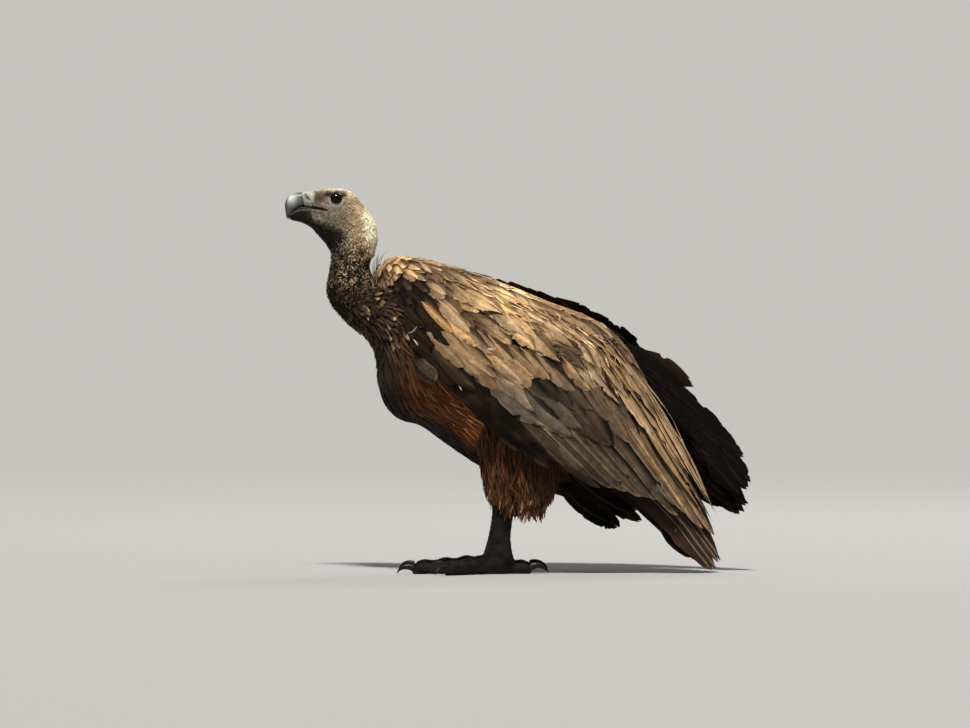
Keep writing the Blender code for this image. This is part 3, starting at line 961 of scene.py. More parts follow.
# ---- finishes -------------------------------------------------------------------------------
class Shader:
    """A node material under construction, with short calls for its parts."""

    def __init__(self, name: str, roughness: float, specular: float = 0.5) -> None:
        """Starts a material.

        Args:
            name: The material's name.
            roughness: Roughness of the whole surface.
            specular: Specular level of the whole surface.
        """
        self.material = bpy.data.materials.new(name)
        self.material.use_nodes = True
        self.tree = self.material.node_tree
        self.surface = self.tree.nodes["Principled BSDF"]
        self.surface.inputs["Roughness"].default_value = roughness
        self.surface.inputs["Specular IOR Level"].default_value = specular

    def node(self, kind: str, **values: object) -> bpy.types.Node:
        """Adds a node and sets its properties and sockets by name.

        Args:
            kind: The node's type, without the ShaderNode prefix.
            values: Property names, or socket names with spaces as underscores.

        Returns:
            The new node.
        """
        made = self.tree.nodes.new("ShaderNode" + kind)
        for name, value in values.items():
            if hasattr(made, name):
                setattr(made, name, value)
                continue
            socket = made.inputs[int(name[1:])] if name[0] == "_" else made.inputs[name.replace("_", " ")]
            if isinstance(value, bpy.types.NodeSocket):
                self.tree.links.new(value, socket)
            else:
                socket.default_value = value
        return made

    def math(self, operation: str, a: object, b: object = 0) -> bpy.types.NodeSocket:
        """One sum of two numbers or sockets."""
        return self.node("Math", operation=operation, _0=a, _1=b).outputs[0]

    def weigh(self, *terms: tuple[object, float]) -> bpy.types.NodeSocket:
        """The sum of values times their weights."""
        total = None
        for value, weight in terms:
            term = self.math("MULTIPLY", value, weight)
            total = term if total is None else self.math("ADD", total, term)
        return total

    def place(self) -> bpy.types.NodeSocket:
        """The place in the object's own space."""
        return self.node("TexCoord").outputs["Object"]

    def grain(self) -> list[bpy.types.NodeSocket]:
        """The three numbers of the mesh's grain."""
        return list(self.node("SeparateXYZ", _0=self.attribute("grain", "Vector")).outputs)

    def level(self, **levels: float) -> None:
        """Sets the surface's sockets, named with underscores for spaces."""
        for name, value in levels.items():
            self.surface.inputs[name.replace("_", " ")].default_value = value

    def noise(
        self, vector: object, scale: float, detail: float = 2, rough: float = 0.5
    ) -> bpy.types.NodeSocket:
        """A noise from 0 to 1 at a scale."""
        return self.node("TexNoise", Vector=vector, Scale=scale, Detail=detail, Roughness=rough).outputs[0]

    def attribute(self, name: str, output: str) -> bpy.types.NodeSocket:
        """A value stored on the mesh."""
        return self.node("Attribute", attribute_name=name).outputs[output]

    def remap(
        self, value: bpy.types.NodeSocket, low: float, high: float, out_low: float, out_high: float
    ) -> bpy.types.NodeSocket:
        """A value moved from one range to another."""
        return self.node(
            "MapRange", Value=value, From_Min=low, From_Max=high, To_Min=out_low, To_Max=out_high
        ).outputs[0]

    def shade_colour(self, factor: bpy.types.NodeSocket) -> None:
        """Base colour: the mesh's own colour times a factor."""
        scaled = self.node("VectorMath", operation="SCALE", _0=self.attribute("plume", "Color"), Scale=factor)
        self.tree.links.new(scaled.outputs[0], self.surface.inputs["Base Color"])

    def bump(self, height: bpy.types.NodeSocket, distance: float, strength: float = 1) -> None:
        """Bump of a depth in metres."""
        made = self.node("Bump", Height=height, Distance=distance, Strength=strength)
        self.tree.links.new(made.outputs[0], self.surface.inputs["Normal"])


@dataclass(frozen=True)
class PlumeFinish:
    """Feather vanes: fine barbs that run obliquely from the shaft, with dark parting lines."""

    name: str
    roughness: float = 0.72
    barb_contrast: float = 0.35
    barb_depth: float = 0.0003
    sheen: float = 0.02
    specular: float = 0.05

    def material(self) -> bpy.types.Material:
        """The finish as a node material."""
        shader = Shader(self.name, self.roughness, self.specular)
        off, along, own = shader.grain()
        slant = shader.math("SUBTRACT", along, shader.math("MULTIPLY", shader.math("ABSOLUTE", off), 1.5))
        place = shader.node("CombineXYZ", X=shader.math("MULTIPLY", off, 0.22), Y=slant, Z=own).outputs[0]
        fine = shader.noise(place, 1.15, 1)
        wide = shader.noise(place, 0.33, 1)
        barbs = shader.weigh((fine, 0.6), (wide, 0.4))
        shader.shade_colour(shader.remap(barbs, 0.3, 0.7, 1 - self.barb_contrast, 1 + self.barb_contrast))
        shader.bump(fine, self.barb_depth)
        shader.level(Sheen_Weight=self.sheen, Sheen_Roughness=0.6)
        return shader.material


@dataclass(frozen=True)
class DownFinish:
    """Down and bristles: soft, with a light sheen and no barbs to see."""

    name: str
    roughness: float = 0.85
    sheen: float = 0.04

    def material(self) -> bpy.types.Material:
        """The finish as a node material."""
        shader = Shader(self.name, self.roughness, 0.08)
        _, along, own = shader.grain()
        place = shader.node("CombineXYZ", Y=shader.math("MULTIPLY", along, 1.4), Z=own)
        shader.shade_colour(shader.remap(shader.noise(place.outputs[0], 1), 0.25, 0.75, 0.75, 1.25))
        shader.level(Sheen_Weight=self.sheen)
        return shader.material


@dataclass(frozen=True)
class HideFinish:
    """Bare and thinly covered skin: pores and fine creases, rougher where it is scaly.

    The mesh's grain says how scaly the skin is (x) and how smooth (y).
    """

    name: str
    roughness: float = 0.58

    def material(self) -> bpy.types.Material:
        """The finish as a node material."""
        shader = Shader(self.name, self.roughness, 0.12)
        place = shader.place()
        scaly = shader.grain()[0]
        pores = shader.noise(place, 1600, 3, 0.65)
        blotches = shader.noise(place, 260, 3, 0.6)
        plates = shader.node("TexVoronoi", feature="DISTANCE_TO_EDGE", Vector=place, Scale=520).outputs[0]
        edges = shader.remap(plates, 0, 0.12, 0, 1)
        scales = shader.math("MULTIPLY", edges, scaly)
        tone = shader.weigh((pores, 0.5), (blotches, 0.6), (scales, 0.35))
        shader.shade_colour(shader.remap(tone, 0.25, 0.95, 0.62, 1.4))
        shader.bump(shader.weigh((pores, 0.5), (scales, 0.8)), 0.0007)
        return shader.material


@dataclass(frozen=True)
class HornFinish:
    """Horn of the bill and claws: polished, with faint growth streaks and small scratches."""

    name: str
    roughness: float
    coat: float
    streaks: tuple[float, float, float]
    specular: float = 0.55

    def material(self) -> bpy.types.Material:
        """The finish as a node material."""
        shader = Shader(self.name, self.roughness, self.specular)
        place = shader.place()
        stretched = shader.node("Mapping", Vector=place, Scale=self.streaks).outputs[0]
        streak = shader.noise(stretched, 1, 3, 0.6)
        grit = shader.noise(place, 1900, 2)
        shader.shade_colour(shader.remap(streak, 0.3, 0.7, 0.8, 1.2))
        matt = shader.weigh((streak, 0.25), (grit, 0.12))
        dull = shader.grain()[0]
        rough = shader.math(
            "ADD", shader.math("ADD", matt, self.roughness - 0.17), shader.math("MULTIPLY", dull, 0.35)
        )
        shader.tree.links.new(rough, shader.surface.inputs["Roughness"])
        shader.level(Coat_Weight=self.coat, Coat_Roughness=0.15)
        shader.bump(shader.math("ADD", streak, shader.math("MULTIPLY", grit, 0.3)), 0.0002)
        return shader.material


@dataclass(frozen=True)
class EyeFinish:
    """A wet eye: near-black iris round a black pupil, under a clear cornea."""

    name: str = "wet_eye"

    def material(self) -> bpy.types.Material:
        """The finish as a node material."""
        shader = Shader(self.name, 0.05, 0.1)
        place = shader.place()
        shader.shade_colour(shader.remap(shader.noise(place, 900, 2), 0.3, 0.7, 0.7, 1.3))
        shader.level(Coat_Weight=0.2, Coat_Roughness=0.02)
        return shader.material


@dataclass(frozen=True)
class FloorFinish:
    """A plain pale studio floor."""

    colour: Colour = (0.36, 0.363, 0.368)

    def material(self) -> bpy.types.Material:
        """The finish as a node material."""
        shader = Shader("studio_floor", 0.85, 0.15)
        shader.surface.inputs["Base Color"].default_value = (*self.colour, 1)
        return shader.material


# ---- the bird's colours ---------------------------------------------------------------------
CROWN_TAN = hue(0.95, 0.83, 0.57)
FACE_GREY = hue(0.18, 0.15, 0.11)
LORE_BROWN = hue(0.075, 0.04, 0.028)
CHEEK_TAN = hue(0.38, 0.265, 0.145)
FOLD_TAN = hue(0.36, 0.31, 0.21)
THROAT_AND_SHADE_BLACK = hue(0.007, 0.004, 0.003)
NAPE_CREAM = hue(1, 0.92, 0.66)
NECK_BROWN = hue(0.018, 0.011, 0.007)
NECK_TIP = hue(0.72, 0.5, 0.3)
BREAST_AND_SHADE_BLACK = hue(0.0035, 0.002, 0.0015)
BREAST_RED = hue(0.085, 0.023, 0.004)
BREAST_SHAFT = hue(0.36, 0.15, 0.05)
THIGH_TAN = hue(0.26, 0.145, 0.07)
COVERT_DARK = hue(0.014, 0.008, 0.005)
COVERT_TAN = hue(0.5, 0.315, 0.16)
COVERT_PALE = hue(0.74, 0.53, 0.3)
WING_GREY = hue(0.088, 0.066, 0.044)
QUILL_BLACK = hue(0.002, 0.0015, 0.0013)
QUILL_BROWN = hue(0.016, 0.008, 0.0045)
CERE_GREY = hue(0.33, 0.345, 0.295)
HORN_BLUE = hue(0.085, 0.1, 0.106)
HORN_DARK = hue(0.014, 0.014, 0.014)
LEG_BLACK = hue(0.001, 0.0009, 0.0008)
LEG_GREY = hue(0.016, 0.013, 0.009)


def near(p: Array, x: float, z: float, reach: float) -> Array:
    """A soft round mask in the side view, 1 at its middle."""
    return np.exp(-(((p[..., 0] - x) ** 2 + (p[..., 2] - z) ** 2) / reach**2))


def beside(p: Array, start: Spot, end: Spot) -> Array:
    """Distance from a straight line's stretch in the side view.

    Args:
        p: Places.
        start: The line's start, x and z.
        end: The line's end.

    Returns:
        Distances in millimetres.
    """
    ux, uz = end[0] - start[0], end[1] - start[1]
    dx, dz = p[..., 0] - start[0], p[..., 2] - start[1]
    share = np.clip((dx * ux + dz * uz) / (ux * ux + uz * uz), 0, 1)
    return np.hypot(dx - share * ux, dz - share * uz)


# the folds' ends in the side view
PALE_FOLDS = (((-292, 497), (-271, 492)), ((-263, 485.5), (-243, 480.5)), ((-274, 515), (-262, 511)))


def head_shade(p: Array) -> Array:
    """Colour of the head and neck at places: the same for skin and down.

    Args:
        p: Places, in an array whose last axis is x, y, z.

    Returns:
        Linear colours in the same shape.
    """
    x, z = p[..., 0], p[..., 2]
    worn = np.exp(0.3 * noise(p * np.array([1, 1, 1.6]), 3.4, 32) + 0.25 * noise(p, 1.6, 33))
    shade = FACE_GREY * worn[..., None]
    # the crown's own tan down, paler on the head's top as painted light from above
    shade = mix(shade, CROWN_TAN, ramp(525, 533, z + 0.25 * (x + 254)) * ramp(-291, -280, x))
    back = ramp(-246, -226, x)
    shade = mix(shade, CHEEK_TAN, back)
    lore = np.maximum(near(p, -277, 524, 9), 0.9 * ramp(7.5, 2.5, beside(p, (-276, 529), (-246, 529.5))))
    shade = mix(shade, LORE_BROWN, lore * 0.95)
    # painted shadow: a black line under the brow, over the eye
    shade = mix(shade, THROAT_AND_SHADE_BLACK, ramp(4.5, 1.5, beside(p, (-268, 528), (-245, 527))) * 0.8)
    for start, end in PALE_FOLDS:
        shade = mix(shade, FOLD_TAN, ramp(2, 0.4, beside(p, start, end)) * 0.6)
    # painted shade under the jaw line
    low = ramp(497, 481, z + 0.39 * (x + 276) + 3.5 * noise(p, 4, 31))
    shade = mix(shade, THROAT_AND_SHADE_BLACK, low * ramp(-232, -250, x) * 0.95)
    # the throat's front: the neck's own dark skin, deepened by painted shade
    throat = ramp(11, 1, np.abs(curve_distance(THROAT_LINE, x, z)))
    shade = mix(shade, THROAT_AND_SHADE_BLACK, throat)
    nape = ramp(21, 9, beside(p, (-204, 500), (-196, 464))) * ramp(436, 452, z)
    shade = mix(shade, NAPE_CREAM, nape)
    neck = ramp(470, 432, z - 0.35 * (x + 235))
    shade = mix(shade, NECK_BROWN, neck)
    # painted shade deepens the neck's front as well
    front = ramp(16, 2, np.abs(curve_distance(THROAT_LINE, x, z))) * neck
    return mix(shade, THROAT_AND_SHADE_BLACK, front * 0.8)


GAPE_LINE = np.array(((-292, 509.6), (-284, 508.9), (-276.5, 507.4), (-266.3, 505)))


def from_gape(p: Array) -> Pair:
    """Height over the gape in the side view, and half the gape's own thickness there.

    Args:
        p: Places, whose last axis is x, y, z.

    Returns:
        The height, which is large behind the corner of the mouth, and the half thickness.
    """
    middle = np.interp(p[..., 0], GAPE_LINE[:, 0], GAPE_LINE[:, 1])
    behind = 3 * np.maximum(0, p[..., 0] - GAPE_LINE[-1, 0])
    away = p[..., 2] - middle
    thick = np.interp(p[..., 0], (-288, -274, -266), (2.4, 2.2, 0.8))
    return np.where(away < 0, away - behind, away + behind), thick


THROAT_LINE = spline(BODY_LINE[:, 2:4], np.linspace(1, 12, 60))
BELLY_LINE = spline(BODY_LINE[:, 2:4], np.linspace(9, 22, 80))


def body_shade(p: Array) -> Array:
    """Colour of the trunk's skin and feather bases, darkest along the front and the belly, where shade is
    painted.
    """
    front = ramp(34, 4, np.abs(curve_distance(BELLY_LINE, p[..., 0], p[..., 2])))
    return mix(np.broadcast_to(BREAST_RED * 0.6, p.shape), BREAST_AND_SHADE_BLACK, front)


# ---- skin -----------------------------------------------------------------------------------
def find_on_body(x: Array, z: Array, side: int, start: Spot) -> Pair:
    """Body coordinates of points given in the side view.

    Args:
        x: The points' x.
        z: Their z.
        side: LEFT or RIGHT.
        start: Coordinates of a place near by on the right side.

    Returns:
        The two coordinates of each point.
    """
    body = BodyLine()
    a, b = np.full(np.shape(x), start[0]), np.full(np.shape(x), start[1])
    for _ in range(12):
        here, pa, pb, _ = body.slopes(a, b)
        fx, fz = x - here[..., 0], z - here[..., 2]
        det = pa[..., 0] * pb[..., 2] - pa[..., 2] * pb[..., 0]
        a = a + np.clip((fx * pb[..., 2] - fz * pb[..., 0]) / det, -0.5, 0.5)
        b = np.clip(b + np.clip((fz * pa[..., 0] - fx * pa[..., 2]) / det, -0.4, 0.4), 0.05, math.pi - 0.05)
    return a, side * b


@dataclass
class EyeSet:
    """Both eyes and the lids that hug them."""

    centre: tuple[float, float, float] = (-254.3, 14.9, 521.2)
    radius: float = 10.5
    opening: float = 7.2
    lid_end: float = 13.5
    pupil: float = 3.2

    def gap(self, p: Array) -> Array:
        """Distance from the nearer eye's axis."""
        return np.hypot(p[..., 0] - self.centre[0], p[..., 2] - self.centre[2])

    def build_balls(self) -> None:
        """Each eyeball as its own piece, with a slight cornea."""
        for word, side in SIDES.items():
            pile = MeshPile()
            tilt, turn = grid_of(np.linspace(0.02, math.pi - 0.02, 60), ring(72))
            out = np.stack(
                [np.sin(tilt) * np.cos(turn), side * np.cos(tilt), np.sin(tilt) * np.sin(turn)], -1
            )
            from_axis = np.sin(tilt) * self.radius
            bulge = 0.35 * ramp(5.5, 0, from_axis) * (np.cos(tilt) > 0)
            centre = np.array([self.centre[0], side * self.centre[1], self.centre[2]])
            grid = centre + out * (self.radius + bulge)[..., None]
            iris = mix(
                (0.002, 0.002, 0.002), (0.004, 0.0025, 0.002), ramp(self.pupil, self.pupil + 0.7, from_axis)
            )
            shade = mix(iris, (0.004, 0.003, 0.003), ramp(5.6, 6.2, from_axis))
            grid = grid if side == RIGHT else grid[:, ::-1]
            pile.add_grid(
                grid, shade, np.zeros(3), True, np.stack([turn / 6.4 + 0.01, tilt / 3.3 + 0.01], -1)
            )
            piece = pile.build(f"eyeball_{word}", EyeFinish(f"wet_eye_{word}").material())
            settle(piece, "eye", f"eye_{word}")

    def lids(self, skin: "Skin", side: int) -> tuple[Array, Array, Array]:
        """The lids of one eye as a polar grid that ends just under the face's skin.

        Args:
            skin: Gives the face round the eye.
            side: LEFT or RIGHT.

        Returns:
            Places, colours and grain, each (rings, spokes, 3).
        """
        reach = np.concatenate([[6.3, 6.7, 7], np.linspace(7.2, self.lid_end, 26)])
        r, turn = grid_of(reach, ring(120))
        # the opening is a little lower than round, with its corners drawn out to the front and back
        flat = 1 - 0.1 * np.abs(np.sin(turn)) * ramp(9.5, 7, r)
        x = self.centre[0] + r * np.cos(turn) * (1 + 0.06 * ramp(10, 7, r))
        z = self.centre[2] + 0.6 + r * np.sin(turn) * flat
        a, b = find_on_body(x, z, side, (2, 0.9))
        face = skin.body_point(a, b)
        from_axis = np.hypot(x - self.centre[0], z - self.centre[2])
        ball_y = self.centre[1] + np.sqrt(np.maximum(1, self.radius**2 - from_axis**2))
        edge = hump(r - 7.3, 0.55)
        upper = ramp(0.1, 0.7, np.sin(turn))
        hug = ball_y + 0.25 + 0.75 * edge + 0.9 * upper * hump(r - 8.3, 1.2)
        rings = 0.32 * np.sin((r - 7.5) * 2 * math.pi / 1.75) * ramp(7.5, 8.5, r) * ramp(13, 10.5, r)
        rings = rings * (0.35 + 0.65 * ramp(0.3, -0.3, np.sin(turn)))
        blend = ramp(7.6, 11, r)
        y = hug * (1 - blend) + np.abs(face[..., 1]) * blend + rings
        y = np.where(r < 7, ball_y - 0.5, y) - 0.6 * ramp(12.6, 13.5, r)
        grid = np.stack(
            [x * (1 - blend) + face[..., 0] * blend, side * y, z * (1 - blend) + face[..., 2] * blend], -1
        )
        pale = np.array([0.95, 0.9, 0.76])
        dark = np.array([0.012, 0.009, 0.007])
        stripe = hump(r - 8.6, 0.5) + 0.45 * hump(r - 10.9, 0.5)
        # the pale rings show only below the eye; above it the lids stay dark as painted shadow under the brow
        shade = mix(dark, pale, stripe * ramp(0.45, -0.1, np.sin(turn)))
        shade = mix(shade, dark, ramp(7.35, 7, r))
        shade = mix(shade, pale * 0.5, upper * hump(r - 11.3, 1) * 0.12)
        shade = mix(shade, head_shade(grid), ramp(10.8, 12.6, r))
        if side == RIGHT:
            return grid, shade, np.zeros_like(grid)
        return grid[:, ::-1], shade[:, ::-1], np.zeros_like(grid)


@dataclass
class Skin:
    """One skin over head, neck, trunk, thighs, legs, feet and the wings' arms."""

    body: BodyLine = field(default_factory=BodyLine)
    eyes: EyeSet = field(default_factory=EyeSet)
    head_depth: float = 0.5
    neck_depth: float = 3.2
    trunk_depth: float = 7
    leg_voxel: float = 1.5

    def depth(self, a: Array) -> Array:
        """How deep the skin lies under the coat, along the body."""
        neck = self.head_depth + (self.neck_depth - self.head_depth) * ramp(3.6, 7, a)
        return neck + (self.trunk_depth - self.neck_depth) * ramp(8.5, 12, a)

    def relief(self, p: Array, a: Array) -> Array:
        """The face's forms and folds over the plain body line, in millimetres.

        Args:
            p: Places on the plain body line.
            a: Their place along it.

        Returns:
            Heights in millimetres.
        """
        brow = 0.9 * hump(beside(p, (-272, 532), (-243, 533)), 4.2)
        lore = -1.6 * near(p, -276.5, 519.5, 8.5)
        cheek = 1.6 * near(p, -262, 494, 14) + near(p, -243, 508, 12)
        ear = -1.3 * near(p, -231, 506, 4)
        crown = -2.1 * ramp(523, 532, p[..., 2] + 0.6 * np.maximum(0, p[..., 0] + 254)) * ramp(6, 4, a)
        gape, thick = from_gape(p)
        mouth = -2.2 * np.exp(-((gape / thick) ** 4)) + 0.8 * hump(gape + thick + 1.1, 0.9)
        jaw = 1.2 * hump(beside(p, (-290, 491), (-262, 486)), 4.5)
        wrinkled = ramp(516, 500, p[..., 2]) * ramp(7, 5, a)
        slanted = p * np.array([1, 1, 0.45]) + p[..., 2:3] * np.array([0.35, 0, 0])
        folds = 0.75 * noise(slanted, 3.6, 11) + 0.45 * noise(slanted, 1.8, 12)
        fine = 0.22 * noise(p, 2.1, 13) + 0.12 * noise(p, 1.1, 14)
        head = ramp(7.5, 5.5, a)
        neck = 1.1 * noise(p * np.array([1, 1, 2.2]), 11, 15) * ramp(5, 7, a) * ramp(11, 9, a)
        return (crown + brow + lore + cheek + ear + mouth + jaw + folds * wrinkled + fine) * head + neck

    def ground(self, a: Array, b: Array) -> Array:
        """The skin's height over the body line, which is below zero."""
        return self.relief(self.body.point(a, b), a) - self.depth(a)

    def body_point(self, a: Array, b: Array) -> Array:
        """The skin's place on the body line."""
        here, _, _, out = self.body.slopes(a, b)
        return here + out * self.ground(a, b)[..., None]

    def build(self) -> bpy.types.Object:
        """Builds the skin as one piece."""
        pile = MeshPile()
        self.add_body(pile)
        for side in SIDES.values():
            grid, shade, grain = self.eyes.lids(self, side)
            v = np.linspace(0, 1, 120)[None] * np.ones((len(grid), 1))
            u = np.linspace(0, 1, len(grid))[:, None] * np.ones((1, 120))
            corner = np.array([0.86 if side == LEFT else 0.93, 0])
            self.add_ring(pile, grid, shade, grain, corner + np.stack([u * 0.06, 0.01 + v * 0.12], -1))
            self.add_leg(pile, side)
            self.add_arm(pile, side)
        piece = pile.build("vulture_skin", HideFinish("hide").material())
        nodes = ["head", "neck", "trunk"]
        nodes += [f"{part}_{word}" for word in SIDES for part in ("thigh", "shank", "foot")]
        settle(piece, "skin", *nodes)
        return piece

    def add_ring(self, pile: MeshPile, grid: Array, shade: Array, grain: Array, patch: Array) -> None:
        """Adds a closed ring of columns without end caps.

        Args:
            pile: The mesh that takes it.
            grid: Places.
            shade: Colours.
            grain: Grain.
            patch: Places on the bake map.
        """
        grid, shade, grain, patch = (
            np.concatenate([v, v[:, :1]], axis=1) for v in (grid, shade, grain, patch)
        )
        pile.add_grid(grid, shade, grain, False, patch)

    def add_body(self, pile: MeshPile) -> None:
        """Adds head, neck and trunk, finest at the head.

        Args:
            pile: The mesh that takes it.
        """
        a = np.concatenate([
            np.linspace(0, 5.5, 190, endpoint=False), np.linspace(5.5, 10, 60, endpoint=False),
            np.linspace(10, 22, 60)
        ])
        a, b = grid_of(a, np.linspace(-math.pi, math.pi, 241))
        grid = self.body_point(a, b)
        under_eye = self.eyes.gap(grid)
        sunk = ramp(12.2, 10, under_eye) * 1.2 + ramp(9.5, 7.5, under_eye) * 9
        grid[..., 1] -= np.sign(grid[..., 1]) * sunk
        shade = mix(head_shade(grid), body_shade(grid), ramp(9.6, 11, a))
        gape, thick = from_gape(grid)
        # painted shade: the gape's slit is black
        mouth = np.exp(-((gape / thick) ** 4)) * ramp(4, 3, a)
        shade = mix(shade, (0.003, 0.002, 0.002), mouth)
        lip = hump(gape + thick + 0.9, 0.6) * ramp(4, 3, a)
        shade = mix(shade, (0.3, 0.27, 0.2), lip * 0.8)
        # painted shade: darker lines along the face's creases and fine wrinkles
        creases = ramp(0.1, -0.5, noise(grid, 2.4, 21)) * ramp(7, 5, a)
        fine = ramp(0, -0.4, noise(grid * np.array([1, 1, 0.6]), 1.1, 23)) * ramp(7, 5, a)
        shade = shade * (1 - 0.45 * creases)[..., None] * (1 - 0.35 * fine)[..., None]
        pale = ramp(0.25, 0.7, noise(grid * np.array([1.5, 1, 0.5]), 2.2, 22)) * near(grid, -272, 498, 12)
        shade = mix(shade, (0.24, 0.22, 0.17), pale * 0.6)
        patch = self.body.bake_place(a, b) * np.array([0.84, 0.7])
        grain = np.zeros_like(grid)
        pile.add_grid(grid, shade, grain, False, patch)
        for end in (grid[:1], grid[-1:]):
            middle = np.broadcast_to(end.mean(axis=1, keepdims=True), end.shape)
            cap = np.concatenate([middle, end] if end is grid[:1] else [end, middle], axis=0)
            pile.add_grid(cap, LORE_BROWN, np.zeros(3), False, np.array([0.85, 0.5]))

    def add_arm(self, pile: MeshPile, side: int) -> None:
        """Adds the dark skin of one wing's arm, under its coverts.

        Args:
            pile: The mesh that takes it.
            side: LEFT or RIGHT.
        """
        wing = WingShell(side)
        along, down = grid_of(np.linspace(0, 1, 90), np.linspace(0, 1, 60))
        top = spline(WING_UPPER_EDGE, 1.6 + along * 12.9)
        low = spline(WING_LOWER_EDGE, 2.2 + along * 8.3)
        rim = top + (low - top) * (0.03 + 0.92 * down)[..., None]
        places = wing.raised(rim[..., 0], rim[..., 1], -8.5 - 0.5 * along)
        inner = wing.raised(rim[..., 0], rim[..., 1], -12 - 0.5 * along)
        grid = np.concatenate([places, inner[:, ::-1]], axis=1)
        grid = grid if side == LEFT else grid[:, ::-1]
        corner = np.array([0.05 if side == LEFT else 0.35, 0.72])
        patch = wing.bake_place(rim[..., 0], rim[..., 1]) * 0.26 + corner
        patch = np.concatenate([patch, patch[:, ::-1]], axis=1)
        patch = patch if side == LEFT else patch[:, ::-1]
        pile.add_grid(grid, COVERT_DARK * 0.6, np.zeros(3), True, patch)

    def add_leg(self, pile: MeshPile, side: int) -> None:
        """Adds one thigh, shank and foot, joined without a seam.

        Args:
            pile: The mesh that takes it.
            side: LEFT or RIGHT.
        """
        leg = Leg(side)
        points, quads, shade, scaly = leg.surface(self.leg_voxel)
        grain = np.stack([scaly, np.zeros_like(scaly), np.zeros_like(scaly)], -1)
        turn = np.arctan2(points[:, 1] - side * leg.foot_y, points[:, 0] - leg.centre_x) / (2 * math.pi) + 0.5
        u = 0.05 + 0.12 * turn + (0 if side == LEFT else 0.14)
        v = 0.72 + 0.26 * np.clip(points[:, 2] / 240, 0, 1)
        pile.add(quads, points, shade, grain, np.stack([u + 0.6, v], -1))


THIGH = np.array((
    (-62, 205, 50, 232, 42), (-57, 168, 57, 190, 42), (-52, 135, 57, 146, 38), (-47, 110, 52, 112, 31),
    (-38, 90, 38, 82, 22)
))
SHANK = np.array((
    (-34, 120, -4, 116, 11.5), (-36, 89.3, -7, 86.2, 11), (-39, 64, -10.5, 62, 10.5), (-43, 44, -11, 43, 12),
    (-47.5, 28, -9, 28, 15), (-51, 16, -6, 15, 17), (-51, 7, -7, 7, 17), (-49, 0.4, -9, 0.4, 15)
))


@dataclass(frozen=True)
class Toe:
    """One toe: its angle from straight ahead, length, half width and height at its root."""

    name: str
    angle: float
    length: float
    width: float
    height: float
    pads: int
    claw: float


TOES = (
    Toe("middle", 4, 118, 9.6, 26, 4, 1),
    Toe("inner", -24, 84, 8.8, 24, 3, 1.1),
    Toe("outer", 38, 90, 8.8, 24, 4, 0.9),
    Toe("hind", 180, 47, 8.6, 20, 2, 1.15),
)


